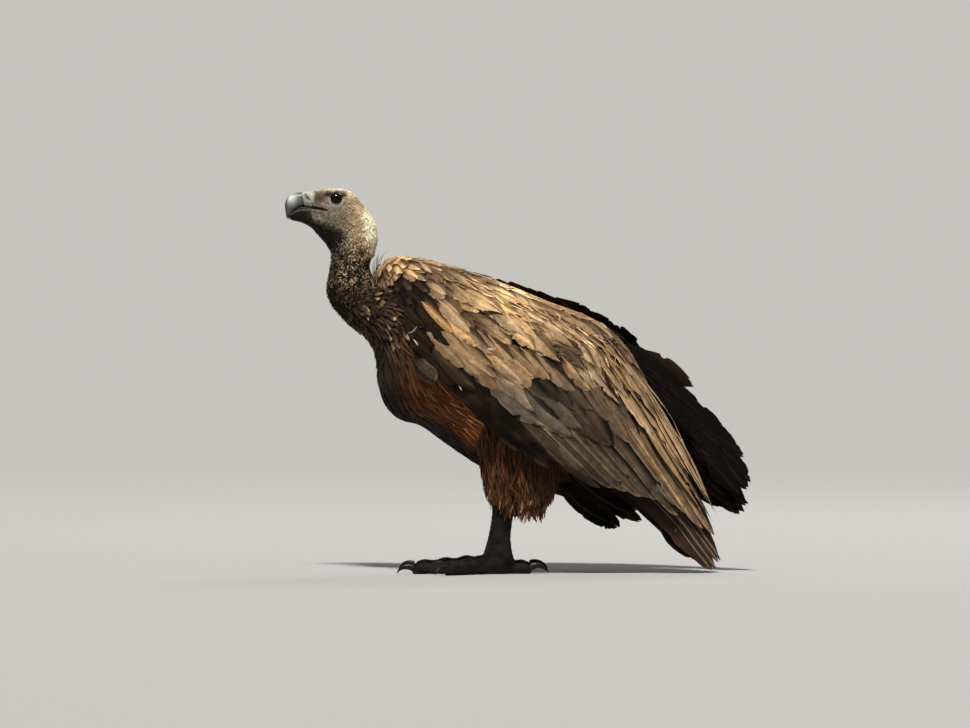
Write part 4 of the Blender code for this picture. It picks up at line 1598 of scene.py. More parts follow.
@dataclass
class Leg:
    """A bare leg and its foot, and the claws at the toes' ends."""

    side: int
    foot_y: float = 50
    centre_x: float = -30
    toe_end_width: float = 6.2
    toe_end_height: float = 14
    claw_arc: float = 15

    def heading(self, toe: Toe) -> tuple[Array, Array, Array]:
        """The ankle's middle on the floor, the toe's direction and its sideways direction.

        Args:
            toe: The toe.

        Returns:
            The place and the two directions.
        """
        turn = math.radians(toe.angle)
        ahead = np.array([-math.cos(turn), self.side * math.sin(turn), 0])
        start = np.array([self.centre_x, self.side * self.foot_y, 0])
        return start, ahead, np.array([-ahead[1], ahead[0], 0])

    def toe_grid(self, toe: Toe) -> Array:
        """A toe with a flat sole and a swelling at each pad.

        Args:
            toe: The toe.

        Returns:
            Places, (along, around, 3).
        """
        t, turn = grid_of(np.linspace(0, 1, 70), ring(40))
        start, ahead, aside = self.heading(toe)
        swell = 1 + 0.08 * np.cos(2 * math.pi * toe.pads * t + math.pi)
        end = np.sqrt(np.maximum(0.03, 1 - np.clip((t - 0.93) / 0.07, 0, 1) ** 2 * 0.8))
        half = (toe.width + (self.toe_end_width - toe.width) * t) * swell * end
        tall = (toe.height + (self.toe_end_height - toe.height) * t) * (0.92 + 0.9 * (swell - 1)) * end
        arch = 2.6 * ramp(0.3, -0.6, np.cos(turn)) * np.sin(math.pi * toe.pads * t) ** 2 * ramp(0.02, 0.2, t)
        up = np.maximum(0.25, tall * (0.42 + 0.58 * np.cos(turn)) + arch)
        sideways = half * np.sign(np.sin(turn)) * np.abs(np.sin(turn)) ** 0.8
        out = start + ahead * (toe.length * t)[..., None] + aside * sideways[..., None]
        return out + np.array([0, 0, 1]) * up[..., None]

    def surface(self, voxel: float) -> Four:
        """The leg's skin with its scutes.

        Args:
            voxel: Grain of the mesh in millimetres.

        Returns:
            Points, quads, colours, and how scaly each point is.
        """
        rough = MeshPile()
        around = ring(64, -math.pi)
        for rows, square, inset in ((SHANK, 0.9, 0), (THIGH, 1, -8)):
            tube = Tube(rows, self.side * self.foot_y, square, square, -1)
            a, b = grid_of(np.linspace(0, len(rows) - 1, 80), around)
            grid = tube.point(a, b) if inset == 0 else tube.raised(a, b, np.full(a.shape, inset))
            rough.add_grid(grid, np.zeros(3), np.zeros(3), True, np.zeros(2))
        for toe in TOES:
            rough.add_grid(self.toe_grid(toe), np.zeros(3), np.zeros(3), True, np.zeros(2))
        piece = rough.build("leg_draft", None)
        modifier = piece.modifiers.new("join", "REMESH")
        modifier.mode = "VOXEL"
        modifier.voxel_size = voxel * MM
        soften = piece.modifiers.new("soften", "SMOOTH")
        soften.iterations = 4
        mesh = piece.evaluated_get(bpy.context.evaluated_depsgraph_get()).to_mesh()
        points = np.empty(len(mesh.vertices) * 3, np.float32)
        normals = np.empty(len(mesh.vertices) * 3, np.float32)
        mesh.vertices.foreach_get("co", points)
        mesh.vertex_normals.foreach_get("vector", normals)
        quads = np.array([(*p.vertices, p.vertices[-1])[:4] for p in mesh.polygons])
        points, normals = points.reshape(-1, 3).astype(float) / MM, normals.reshape(-1, 3).astype(float)
        bpy.data.objects.remove(piece)
        scute, groove = self.scutes(points, normals)
        points = points + normals * scute[:, None]
        points[:, 2] = np.maximum(points[:, 2], 0)
        bare = ramp(112, 92, points[:, 2])
        shade = mix(np.broadcast_to(LEG_BLACK, points.shape), LEG_GREY, 0.5 + 0.5 * noise(points, 9, 31))
        shade = shade * (1 - 0.6 * groove)[:, None]
        return points, quads, mix(body_shade(points), shade, bare), bare * (1 - groove * 0.5)

    def scutes(self, points: Array, normals: Array) -> Pair:
        """Heights of the horny plates across the toes' tops and down the shank's front.

        Args:
            points: The skin's points.
            normals: Their normals.

        Returns:
            The relief in millimetres, and the grooves between plates from 0 to 1.
        """
        nearest = np.full(len(points), np.inf)
        place = np.zeros(len(points))
        for toe in TOES:
            start, ahead, _ = self.heading(toe)
            along = (points - start) @ ahead
            far = np.linalg.norm(points - start - np.outer(np.clip(along, 8, toe.length), ahead), axis=1)
            place = np.where(far < nearest, along, place)
            nearest = np.minimum(far, nearest)
        on_toe = ramp(24, 17, points[:, 2]) * ramp(16, 24, place)
        upward = ramp(0.15, 0.6, normals[:, 2])
        toe_wave = np.abs(np.sin(math.pi * place / 5.2)) ** 0.5
        front = ramp(0, 0.6, -normals[:, 0]) * ramp(22, 32, points[:, 2])
        shank_wave = np.abs(np.sin(math.pi * (points[:, 2] + 0.3 * points[:, 0]) / 7.5)) ** 0.5
        lump = noise(points, 3.4, 33)
        relief = 0.8 * (toe_wave - 0.6) * on_toe * upward + 0.6 * (shank_wave - 0.6) * front
        relief = relief + 0.5 * lump * (1 - on_toe * upward) * (1 - front)
        groove = np.clip((1 - toe_wave) * on_toe * upward + (1 - shank_wave) * front, 0, 1)
        return relief, groove

    def claw_grid(self, toe: Toe) -> Array:
        """A claw that rises from the toe's end and curves down to just over the floor.

        Args:
            toe: The claw's toe.

        Returns:
            Places, (along, around, 3).
        """
        start, ahead, aside = self.heading(toe)
        size = toe.claw
        t, swing = grid_of(np.linspace(0, 1, 40), ring(28))
        first, last = math.radians(-36), math.radians(66)
        radius = self.claw_arc * size
        turn = first + (last - first) * t
        out = toe.length - 1.5 + radius * (np.sin(turn) - math.sin(first))
        up = 0.9 - radius * math.cos(last) + 0.4 + radius * np.cos(turn)
        lean = turn * np.minimum(1, 3 * t)
        tall = (4.6 * (1 - t) ** 0.8 + 0.4) * size
        half = (3.4 * (1 - t) ** 0.8 + 0.4) * size * (1 - 0.25 * np.clip(-np.cos(swing), 0, 1))
        rise = tall * np.cos(swing)
        lift = np.maximum(0.3, up + rise * np.cos(lean))
        far, wide = out + rise * np.sin(lean), half * np.sin(swing)
        return start + ahead * far[..., None] + aside * wide[..., None] + np.array([0, 0, 1]) * lift[
            ..., None
        ]

    def build_claws(self, word: str, finish: bpy.types.Material) -> None:
        """Each claw as its own piece.

        Args:
            word: The side's name.
            finish: The claws' material.
        """
        for toe in TOES:
            grid = self.claw_grid(toe)
            t = np.linspace(0, 1, len(grid))[:, None]
            worn = ramp(0, 0.25, t) * np.ones(grid.shape[:2])
            shade = mix(LEG_GREY, (0.006, 0.006, 0.006), worn)
            shade = mix(shade, (0.03, 0.028, 0.025), ramp(0.8, 1, t) * np.ones(grid.shape[:2]))
            grain = np.zeros_like(grid)
            grain[..., 0] = 0.4 - 0.4 * worn
            v = np.linspace(0.02, 0.98, grid.shape[1])[None] * np.ones((len(grid), 1))
            pile = MeshPile()
            pile.add_grid(grid, shade, grain, True, np.stack([0.02 + 0.96 * t * np.ones_like(v), v], -1))
            piece = pile.build(f"talon_{word}_{toe.name}", finish)
            settle(piece, "claw", f"claw_{word}_{toe.name}")


def settle(piece: bpy.types.Object, slot: str, *nodes: str) -> None:
    """Ties a piece to the model: its body and the plain solids it stands for.

    Args:
        piece: The piece.
        slot: The slot of its finish; not used.
        nodes: The plain solids, if any.
    """
    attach(piece, ROOT)
    if nodes:
        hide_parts(*nodes)


# ---- bill -----------------------------------------------------------------------------------
BILL_UPPER = np.array((
    (-282, 534.6, -286, 510, 13.2), (-286.6, 534.3, -289.6, 510.6, 12.8), (-300, 533.6, -300.3, 512.2, 11.5),
    (-313, 532.2, -307, 510, 10.8), (-323.6, 526.4, -312.5, 506.5, 9.6), (-328.2, 516.4, -316.2, 503, 7.6),
    (-328.2, 507.4, -318.4, 500.5, 5.2), (-326.6, 500.2, -320.2, 497.8, 3.2),
    (-323, 494.2, -321.6, 494.4, 1.2)
))
BILL_LOWER = np.array((
    (-283, 512, -286, 478, 12.2), (-289.5, 513, -292.8, 483.6, 11.6), (-300, 514.5, -302.5, 488.6, 10.2),
    (-308, 513, -310, 490.8, 9), (-315, 508.5, -316.5, 492.2, 7.2), (-320.5, 501.5, -320.7, 494.6, 4.2)
))


@dataclass
class Bill:
    """The hooked bill: upper half with its cere and nostrils, and the lower half."""

    horn_start: float = -301
    nostril_high: Spot = (-298, 528.5)
    nostril_low: Spot = (-291.5, 520)

    def build(self) -> None:
        """Builds both halves."""
        self.build_upper()
        self.build_lower()

    def build_upper(self) -> None:
        """Builds the hook, with the cere, the nostrils and the culmen's painted highlight."""
        finish = HornFinish("bill_horn", 0.34, 0.2, (1500, 300, 160)).material()
        upper = Tube(BILL_UPPER, squareness=0.8, low_squareness=0.62, out_sign=-1)
        place, a, b, out = self.sheet(upper, 150, 128)
        start, high, low = self.horn_start, self.nostril_high, self.nostril_low
        cere = ramp(start - 0.6, start + 0.6, place[..., 0] + 0.22 * (place[..., 2] - 522))
        slit = beside(place, high, low)
        fold = beside(place, (high[0] - 2, high[1] - 1.5), (low[0] - 3.2, low[1] + 1.5))
        flank = ramp(3, 5.5, np.abs(place[..., 1]))
        relief = 0.5 * cere + 0.45 * cere * hump(place[..., 0] - start - 2, 1.6)
        relief = relief - (2 * hump(slit, 0.8) + 0.8 * hump(fold, 0.6)) * flank
        relief = relief + 0.16 * noise(place, 2.4, 41) * cere + 0.05 * noise(place, 1.2, 42)
        tomium = ramp(2.55, 2.9, np.abs(b))
        relief = relief - 0.5 * tomium - 1.5 * ramp(0.3, 0.95, np.cos(b)) * ramp(7.6, 6.6, a)
        grid = place + out * relief[..., None]
        # painted light and shade: paler on top, darker down the sides and along the tomium
        light = ramp(0.2, 0.9, np.cos(b)) * 0.5 + 0.5
        horn = mix(HORN_DARK * 1.6, HORN_BLUE, light * ramp(8.2, 5.8, a))
        horn = mix(horn, HORN_DARK, ramp(2.2, 2.9, np.abs(b)))
        horn = mix(horn, HORN_DARK, ramp(6.3, 7.4, a))
        # a painted highlight on the upper side towards the hook
        horn = mix(horn, (0.62, 0.69, 0.63), near(place, -317.5, 522.8, 8) * 0.92)
        horn = mix(horn, HORN_DARK, ramp(-323, -326.5, place[..., 0]) * 0.95)
        streak = noise(place * np.array([1.6, 0.6, 0.22]), 1, 43)
        horn = horn * (1 + 0.28 * streak * ramp(0.5, -0.2, np.cos(b)))[..., None]
        bare = mix(CERE_GREY, LORE_BROWN, ramp(-289, -284, place[..., 0]) * 0.8)
        bare = bare * (1 + 0.25 * noise(place, 1.9, 44))[..., None]
        # a painted highlight along the nostril's rim, and a pale fold at the cere's back
        rim = hump(slit - 1.3, 0.45) * flank
        ridge = hump(place[..., 0] + 287.5 + 0.3 * (place[..., 2] - 521), 1.3)
        ridge = ridge * ramp(512, 516, place[..., 2]) * flank
        bare = mix(bare, (0.42, 0.42, 0.37), np.clip(rim + 0.8 * ridge, 0, 1) * 0.8)
        shade = mix(horn, bare, cere)
        # painted shade in the nostril's slit and in the fold's groove
        slot = np.clip(hump(slit, 0.95) + hump(fold, 0.8), 0, 1)
        shade = mix(shade, (0.004, 0.004, 0.004), slot * flank)
        grain = np.stack([cere, cere * 0, cere * 0], -1)
        pile = MeshPile()
        pile.add_grid(grid, shade, grain, True, upper.bake_place(a, b))
        pile.hang("hooked_bill", finish, "bill", "bill_upper")

    def build_lower(self) -> None:
        """Builds the lower half, with its pale lip and dark skin."""
        finish = HornFinish("lower_bill_horn", 0.5, 0, (1500, 300, 160), 0.15).material()
        lower = Tube(BILL_LOWER, squareness=0.75, low_squareness=0.75, out_sign=-1)
        grid, a, b, out = self.sheet(lower, 90, 96)
        edge = np.interp(-grid[..., 0], (284, 300, 307, 312.5, 318), (506.2, 506.6, 506, 504.2, 500.8))
        over = grid[..., 2] - edge
        lip = hump(over, 0.8)
        grid = grid + out * (0.08 * noise(grid, 1.5, 45))[..., None]
        shade = mix((0.006, 0.005, 0.004), (0.1, 0.095, 0.08), lip * 0.9)
        skin = ramp(-298, -293, grid[..., 0] + 0.5 * (500 - grid[..., 2]))
        shade = mix(shade, head_shade(grid) * 0.14, skin * (1 - lip))
        # painted shadow under the upper half's overhanging edge
        shade = mix(shade, (0.003, 0.002, 0.002), ramp(0.6, 1.2, over))
        shade = shade * (1 + 0.3 * noise(grid * np.array([1, 1, 0.3]), 1.6, 46))[..., None]
        pile = MeshPile()
        pile.add_grid(grid, shade, np.stack([lip * 0.5, lip * 0, lip * 0], -1), True, lower.bake_place(a, b))
        pile.hang("lower_bill", finish, "bill", "bill_lower")

    def sheet(self, tube: Tube, rows: int, around: int) -> Four:
        """A tube's points with both coordinates and the way out.

        Args:
            tube: The tube.
            rows: Points along it.
            around: Points round it.

        Returns:
            Places, the two coordinates, and the outward normals.
        """
        last = len(tube.rows) - 1
        a, b = grid_of(np.linspace(0, last, rows), ring(around, -math.pi))
        here, _, _, out = tube.slopes(a, b)
        return here, a, b, out


# ---- down and body feathers -----------------------------------------------------------------
STUBBLE = Cut(Outline.SPIKE, 3, 3, camber=0.5, bow=0.05, fray=0, ragged=0, draped=False)
TUFT = Cut(Outline.LANCE, 5, 3, camber=0.7, bow=0.1, fray=0, ragged=0, draped=False)
SMALL_LANCE = Cut(Outline.LANCE, 9, 5, camber=0.5, bow=0.03, fray=0.12, ragged=0.35)
CONTOUR = Cut(Outline.ROUND, 9, 7, camber=0.3, bow=0.03, fray=0.14, ragged=0.2)
WISP = Cut(Outline.LANCE, 7, 3, camber=0.5, bow=0.02, fray=0.05, ragged=0.1)
COVERT = Cut(Outline.ROUND, 17, 11, camber=0.2, bow=0.015, fray=0.16, ragged=0.3)
SCAPULAR = Cut(Outline.SOFT, 21, 13, camber=0.22, bow=0.02, fray=0.22, ragged=0.4)


def down_the_body(chart: Chart, a: Array, b: Array, droop: float, twist: Array | float = 0) -> Array:
    """Directions that run along a tube, drawn down by gravity and turned a little.

    Args:
        chart: The tube.
        a: Places along it.
        b: Places round it.
        droop: Share of straight down that is added.
        twist: Turn of each feather about the way out, in radians.

    Returns:
        One direction for each place.
    """
    _, pa, _, out = chart.slopes(a, b)
    way = unit(unit(pa) + np.array([0, 0, -droop]))
    way = unit(way - out * (way * out).sum(-1, keepdims=True))
    return way + np.cross(out, way) * np.broadcast_to(twist, a.shape)[:, None]


@dataclass
class HeadDown:
    """Stubble on the face, short down on crown and cheeks, and the pale fluffy nape."""

    skin: Skin
    stubble_count: int = 15000
    nape_count: int = 9000

    def open_face(self, p: Array, a: Array, b: Array) -> Array:
        """Where the stubble grows: not on the lids, in the gape or before the face, and thin on the lore.

        Args:
            p: Places.
            a: Their place along the body.
            b: Their place round it; not used.

        Returns:
            The density at each place.
        """
        keep = ramp(12, 13.5, self.skin.eyes.gap(p)) * ramp(0.25, 0.6, a)
        lore = 1 - 0.75 * near(p, -277, 521, 9)
        sparse = 0.35 + 0.65 * ramp(500, 512, p[..., 2] + 0.5 * (p[..., 0] + 262))
        return keep * ramp(2, 3.2, np.abs(from_gape(p)[0])) * lore * sparse

    def nape_only(self, p: Array, a: Array, b: Array) -> Array:
        """Where the nape's down grows: thick down the nape, thin round it."""
        return ramp(26, 8, beside(p, (-204, 503), (-196, 455))) + 0.15 * ramp(3.6, 5, a)

    def build(self) -> None:
        """Builds both coats of the head, with one run of random numbers."""
        rng = np.random.default_rng(52)
        self.add_stubble(rng)
        self.add_nape(rng)

    def add_stubble(self, rng: Random) -> None:
        """Lays the stubble and short down of face, crown and cheeks.

        Args:
            rng: Random numbers.
        """
        body = self.skin.body
        a, b = sow(body, self.stubble_count, self.open_face, (0, -math.pi), (6.2, math.pi), 51)
        n = len(a)
        p = self.skin.body_point(a, b)
        crown = ramp(524, 536, p[:, 2])
        back = ramp(-250, -225, p[:, 0])
        length = (2 + 1.6 * crown + 3 * back) * rng.uniform(0.7, 1.3, n)
        lift = length * (0.28 + 0.12 * rng.random(n))
        way = down_the_body(body, a, b, 0, rng.normal(0, 0.35, n))
        flock = Flock(a, b, way, length, 0.75 + 0.35 * back, self.skin.ground(a, b) - 0.1, lift)
        shade = head_shade(p)
        lit = ramp(0.02, 0.1, shade[:, 0])
        tan = rng.random(n) ** 1.5 * back
        # paler tips on the crown: its own tan down, partly painted light from above
        tip = mix(shade * 1.4, (0.75, 0.62, 0.42), (0.12 + 0.6 * crown + 0.6 * tan) * lit)
        pile = MeshPile()
        root, vane = shade * (0.8 - 0.62 * back)[:, None], shade * (1.1 - 0.3 * back)[:, None]
        dye = Dye(root, vane, tip, root_end=0.6, tip_from=0.35, variety=0.4, blotch=0.25)
        lay(pile, body, STUBBLE, flock, dye, 53)
        pile.hang("head_stubble", DownFinish("short_down").material(), "skin")

    def add_nape(self, rng: Random) -> None:
        """Lays the pale fluffy down of the nape.

        Args:
            rng: Random numbers.
        """
        body = self.skin.body
        a, b = sow(body, self.nape_count, self.nape_only, (3, -math.pi), (8.2, math.pi), 54)
        n = len(a)
        p = self.skin.body_point(a, b)
        pale = ramp(22, 10, beside(p, (-203, 500), (-196, 457)))
        length = (4 + 5 * pale) * rng.uniform(0.6, 1.4, n)
        way = down_the_body(body, a, b, 0, rng.normal(0, 0.55, n))
        height, lift = self.skin.ground(a, b) - 0.3, length * rng.uniform(0.15, 0.5, n)
        flock = Flock(a, b, way, length, 1.7, height, lift, 0.2, rng.normal(0, 1.6, n))
        tip = mix(head_shade(p) * 1.3, NAPE_CREAM, 0.25 + 0.75 * pale)
        pile = MeshPile()
        deep = (0.45 + 0.5 * pale)[:, None]
        root, vane = head_shade(p) * deep, head_shade(p) * (0.55 + deep / 2)
        lay(
            pile, body, TUFT, flock,
            Dye(root, vane, tip, root_end=0.7, tip_from=0.3, variety=0.2, blotch=0.15), 55
        )
        pile.hang("nape_down", DownFinish("nape_wool").material(), "skin")


@dataclass
class NeckDown:
    """Curly down over the whole neck, with tan tips over dark roots."""

    skin: Skin
    count: int = 12000

    def on_neck(self, p: Array, a: Array, b: Array) -> Array:
        """Where the neck's down grows."""
        return ramp(4.4, 6.4, a) * ramp(13.6, 11.6, a)

    def build(self) -> None:
        """Builds the neck's coat."""
        body = self.skin.body
        rng = np.random.default_rng(61)
        a, b = sow(body, self.count, self.on_neck, (4.3, -math.pi), (13.6, math.pi), 62)
        n = len(a)
        p = self.skin.body_point(a, b)
        length = rng.uniform(5, 8.5, n) * (1 + 0.5 * ramp(9, 12, a))
        way = down_the_body(body, a, b, 0.05, rng.normal(0, 0.6, n))
        width, lift = rng.uniform(1.2, 2.1, n), length * rng.uniform(0.25, 0.6, n)
        flock = Flock(a, b, way, length, width, -self.skin.depth(a) - 0.3, lift, 0.2, rng.normal(0, 2, n))
        shade = head_shade(p)
        lit = 0.35 + 0.65 * ramp(4, 26, np.abs(curve_distance(THROAT_LINE, p[:, 0], p[:, 2])))
        lit = lit * (1 - 0.8 * ramp(418, 392, p[:, 2])) * (1 + 0.5 * near(p, -258, 416, 16))
        clump = ramp(0, 0.3, 0.6 * noise(p, 5, 64) + rng.normal(0, 0.5, n))
        tip = mix(shade * 0.7, NECK_TIP * 1.15, lit * clump * rng.uniform(0.5, 1, n))
        tip = mix(tip, NAPE_CREAM, ramp(478, 496, p[:, 2]) * 0.4)
        pile = MeshPile()
        lay(
            pile, body, TUFT, flock,
            Dye(shade * 0.2, shade * 0.5, tip, root_end=0.7, tip_from=0.35, variety=0.25), 63
        )
        pile.hang("neck_down_coat", DownFinish("neck_wool").material(), "neck_down")


def breast_keep(p: Array, a: Array, b: Array) -> Array:
    """True where the trunk isn't covered by a wing's core."""
    depth = curve_distance(WING_LOWER_EDGE, p[..., 0], p[..., 2])
    under_wing = (depth < -26) & (np.abs(p[..., 1]) > 22) & (p[..., 0] < 250)
    return ~under_wing


@dataclass
class BodyPlumage:
    """Long lance-shaped breast feathers and the dark feathers of belly, flanks and rump, with painted shade
    along the front and the belly.
    """

    skin: Skin

    def build(self) -> None:
        """Builds the breast's, the belly's and the rump's coats."""
        self.add_neck_foot()
        self.add_tract("breast_feathers", 12, 18.5, 7.4, 71, (46, 70), (6.5, 10))
        self.add_tract("belly_feathers", 17, 22, 10.5, 75, (40, 58), (13, 18))
        self.add_under_tail()

    def add_tract(
        self, name: str, first: float, last: float, apart: float, seed: int, length: Spot, width: Spot
    ) -> None:
        """Lays one tract round the trunk.

        Args:
            name: The piece's name.
            first: Where it starts along the body.
            last: Where it ends.
            apart: Distance between feathers in millimetres.
            seed: Seed of its random numbers.
            length: Shortest and longest feather.
            width: Narrowest and widest.
        """
        body = self.skin.body
        rng = np.random.default_rng(seed)
        a, b = scatter(
            body, (first, -math.pi), (last, math.pi), Gap(apart * 0.62), breast_keep, 26000, seed + 1
        )
        n = len(a)
        p = body.point(a, b)
        neck = ramp(14, 12, a)
        long = rng.uniform(*length, n) * (1 - 0.6 * neck)
        wide = rng.uniform(*width, n) * (1 - 0.35 * neck)
        way = down_the_body(body, a, b, 0.15, rng.normal(0, 0.12, n))
        rise = rng.uniform(3, 6, n) + 1.5 * neck
        height = -self.skin.trunk_depth * (1 - 0.4 * neck) + 0.5
        flock = Flock(a, b, way, long, wide, height, rise, rng.normal(0, 0.5, n), rng.normal(0, 0.15, n))
        dark = body_shade(p)
        front = ramp(5, 48, np.abs(curve_distance(BELLY_LINE, p[:, 0], p[:, 2]))) * (1 - 0.75 * neck)
        # feathers near the front and the belly keep the painted shade of body_shade
        red = mix(dark, BREAST_RED * 0.8, front * rng.uniform(0.2, 1, n))
        bright = front * rng.random(n) ** 2.5
        shaft = mix(red * 1.2, BREAST_SHAFT, bright)
        edge = mix(red * 0.8, BREAST_SHAFT * 0.7, front * rng.random(n) ** 2.5)
        brown = ramp(15.6, 12.6, a)
        red, shaft, edge = (mix(c, (0.04, 0.024, 0.013), brown * 0.85) for c in (red, shaft, edge))
        warm = np.maximum(near(p, -205, 350, 26), near(p, -95, 210, 34)) * front
        warm = (1 + 1.6 * warm - 0.5 * near(p, -188, 262, 30))[:, None]
        red, shaft, edge = red * warm, shaft * warm, edge * warm
        dye = Dye(
            dark * 0.5, red, edge, shaft, root_end=0.45, edge_from=0.55, tip_from=0.7, edge_share=0.7,
            shaft_mm=0.9, variety=0.22, blotch=0.25
        )
        pile = MeshPile()
        lay(pile, body, SMALL_LANCE, flock, dye, seed + 2)
        pile.hang(name, PlumeFinish(name + "_vane", barb_contrast=0.4, sheen=0.08).material(), "body_plumage")

    def add_neck_foot(self) -> None:
        """Lays the small scaly feathers where the neck meets breast and shoulders."""
        body = self.skin.body
        rng = np.random.default_rng(67)
        a, b = scatter(body, (10.6, -math.pi), (13.6, math.pi), Gap(4.6), breast_keep, 26000, 68)
        n = len(a)
        p = body.point(a, b)
        beside_neck = ramp(10, 40, np.abs(curve_distance(BELLY_LINE, p[:, 0], p[:, 2])))
        way = down_the_body(body, a, b, 0.35, rng.normal(0, 0.3, n))
        long = rng.uniform(13, 22, n) * (1 + 0.4 * ramp(11, 13.5, a))
        width, rise = rng.uniform(5, 8, n), rng.uniform(3, 5.5, n)
        flock = Flock(a, b, way, long, width, -4.5, rise, rng.normal(0, 0.5, n), rng.normal(0, 0.3, n))
        tan = ramp(0, 0.6, noise(p, 9, 69) + rng.normal(0, 0.3, n)) * (0.15 + 0.6 * beside_neck)
        vane = mix(np.broadcast_to((0.02, 0.011, 0.006), p.shape), COVERT_TAN * 0.7, tan * 0.8)
        edge = mix(vane * 1.5, COVERT_PALE, tan * 0.5)
        dye = Dye(
            COVERT_DARK, vane, edge, root_end=0.7, edge_from=0.6, tip_from=0.7, edge_share=0.8, variety=0.25,
            blotch=0.3
        )
        pile = MeshPile()
        lay(pile, body, CONTOUR, flock, dye, 70)
        pile.hang("neck_foot_feathers", PlumeFinish("neck_foot_vane").material(), "body_plumage")

    def slim(self, p: Array, a: Array, b: Array) -> Array:
        """True over the rump's middle, where the tail's coverts grow."""
        return np.abs(p[..., 1]) < 60

    def add_under_tail(self) -> None:
        """Lays the soft coverts that run from the rump under and over the tail."""
        body = self.skin.body
        rng = np.random.default_rng(81)
        a, b = scatter(body, (20, -math.pi), (23.5, math.pi), Gap(8), self.slim, 6000, 82)
        n = len(a)
        way = down_the_body(body, a, b, 0.1, rng.normal(0, 0.1, n))
        flock = Flock(a, b, way, rng.uniform(45, 75, n), rng.uniform(16, 24, n), -4, rng.uniform(2, 5, n))
        dye = Dye(QUILL_BLACK, QUILL_BROWN, QUILL_BROWN * 2, shaft_mm=0.6, shaft=BREAST_RED, edge_share=0.6)
        pile = MeshPile()
        lay(pile, body, CONTOUR, flock, dye, 83)
        pile.hang("tail_coverts", PlumeFinish("tail_covert_vane").material(), "body_plumage")


@dataclass
class ThighFeathers:
    """Shaggy feathering of both thighs, with a ragged fringe over the bare legs."""

    apart: float = 5.4
    foot_y: float = 50

    def build(self) -> None:
        """Builds one coat for each thigh."""
        for word, side in SIDES.items():
            longer = np.vstack([2 * THIGH[:1] - THIGH[1:2], THIGH])
            tube = Tube(longer, side * self.foot_y, out_sign=-1)
            rng = np.random.default_rng(91 + side)
            top, tip = (0.1, -math.pi), (4.75, math.pi)
            a, b = scatter(tube, top, tip, Gap(self.apart), anywhere, 16000, 93 + side)
            n = len(a)
            p = tube.point(a, b)
            low = ramp(165, 105, p[:, 2])
            length = (46 - 24 * low) * rng.uniform(0.75, 1.25, n)
            width = rng.uniform(5.5, 10, n) * (1 - 0.3 * low)
            way = down_the_body(tube, a, b, 0.3, rng.normal(0, 0.16, n))
            height = -7.5 + 0.5 * rng.random(n)
            rise, roll, bend = rng.uniform(4.5, 9, n), rng.normal(0, 0.6, n), rng.normal(0, 0.25, n)
            flock = Flock(a, b, way, length, width, height, rise, roll, bend)
            tan = rng.random(n) ** 3 * (0.4 + 0.6 * low)
            red = mix(BREAST_RED * rng.uniform(0.15, 0.6, (n, 1)), THIGH_TAN, tan * (0.25 + 0.75 * low))
            red = red * (1 - 0.6 * ramp(-30, 20, p[:, 0]) * ramp(135, 165, p[:, 2]))[:, None]
            edge = mix(red * 1.3, THIGH_TAN, rng.random(n) ** 2 * (0.25 + 0.75 * low))
            dye = Dye(
                BREAST_AND_SHADE_BLACK, red, edge, mix(red, BREAST_SHAFT, 0.2), edge_from=0.5, tip_from=0.6,
                edge_share=0.6, shaft_mm=0.6, variety=0.25, blotch=0.25
            )
            pile = MeshPile()
            lay(pile, tube, SMALL_LANCE, flock, dye, 95 + side)
            pile.hang(
                f"thigh_feathers_{word}",
                PlumeFinish(f"thigh_vane_{word}", barb_contrast=0.4, sheen=0.08).material(), "body_plumage"
            )


# ---- wings ----------------------------------------------------------------------------------
# root x, root z, tip x and tip z of some feathers, from the lowest to the uppermost
SECONDARY_PATHS = np.array((
    (-96, 268, 6, 168), (-104, 318, 100, 129), (-37, 330, 171, 106), (33, 325, 222, 87), (82, 322, 250, 70),
    (118, 315, 280, 50)
))
TERTIAL_PATHS = np.array((
    (82, 312, 146, 232), (100, 322, 172, 224), (114, 325, 192, 212), (126, 320, 209, 192),
    (136, 312, 229, 162), (150, 294, 243, 140), (162, 276, 254, 118), (174, 256, 263, 97), (186, 236, 269, 78)
))
UNDER_TERTIAL_PATHS = np.array((
    (112, 300, 190, 190), (124, 292, 214, 160), (138, 278, 236, 128), (152, 256, 254, 98), (168, 232, 268, 68)
))
PRIMARY_PATHS = np.array((
    (-62, 214, 232, 50), (-58, 232, 257, 13), (-48, 252, 279, 3.5), (-30, 285, 291, 19)
))
GREATER_TIPS = np.array(((-84, 262), (-27, 253), (18, 226), (64, 200), (112, 181), (150, 182), (184, 200)))
SHADED_EDGE = np.array((
    (-176, 352), (-160, 338), (-138, 322), (-111, 297), (-80, 272), (-33, 250), (5, 202), (46, 156),
    (80, 129), (130, 96)
))
SCAPULAR_EDGE = np.array((
    (-182, 413), (-153, 401), (-140, 383), (-116, 368), (-84, 350), (-48, 326), (8, 304), (58, 286),
    (104, 288), (150, 318)
))
# tips' shift in x and z, count, length, width, height and dark root's end of the greater coverts' rows
GREATER_ROWS = (
    (0, 0, 15, 128, 36, -3, 0.5),
    (-16, 26, 15, 100, 33, -2.2, 0.45),
    (-34, 52, 15, 84, 30, -1.4, 0.3),
    (-46, 78, 17, 66, 25, -0.6, 0.3),
)
# x, z and the angle below level of the feathers there, in degrees
LIE = np.array((
    (-195, 400, 66), (-170, 335, 60), (-110, 270, 50), (-50, 230, 45), (20, 260, 44), (-100, 330, 44),
    (-20, 320, 40), (-140, 425, 32), (-70, 400, 30), (20, 370, 30), (90, 330, 42), (140, 310, 58),
    (175, 268, 63), (200, 210, 61)
))


def wing_lie(x: Array, z: Array) -> Array:
    """The feathers' angle below level at places on the wing, in radians."""
    near_by = 1 / ((x[..., None] - LIE[:, 0]) ** 2 + (z[..., None] - LIE[:, 1]) ** 2 + 300) ** 1.5
    return np.radians((near_by * LIE[:, 2]).sum(-1) / near_by.sum(-1))


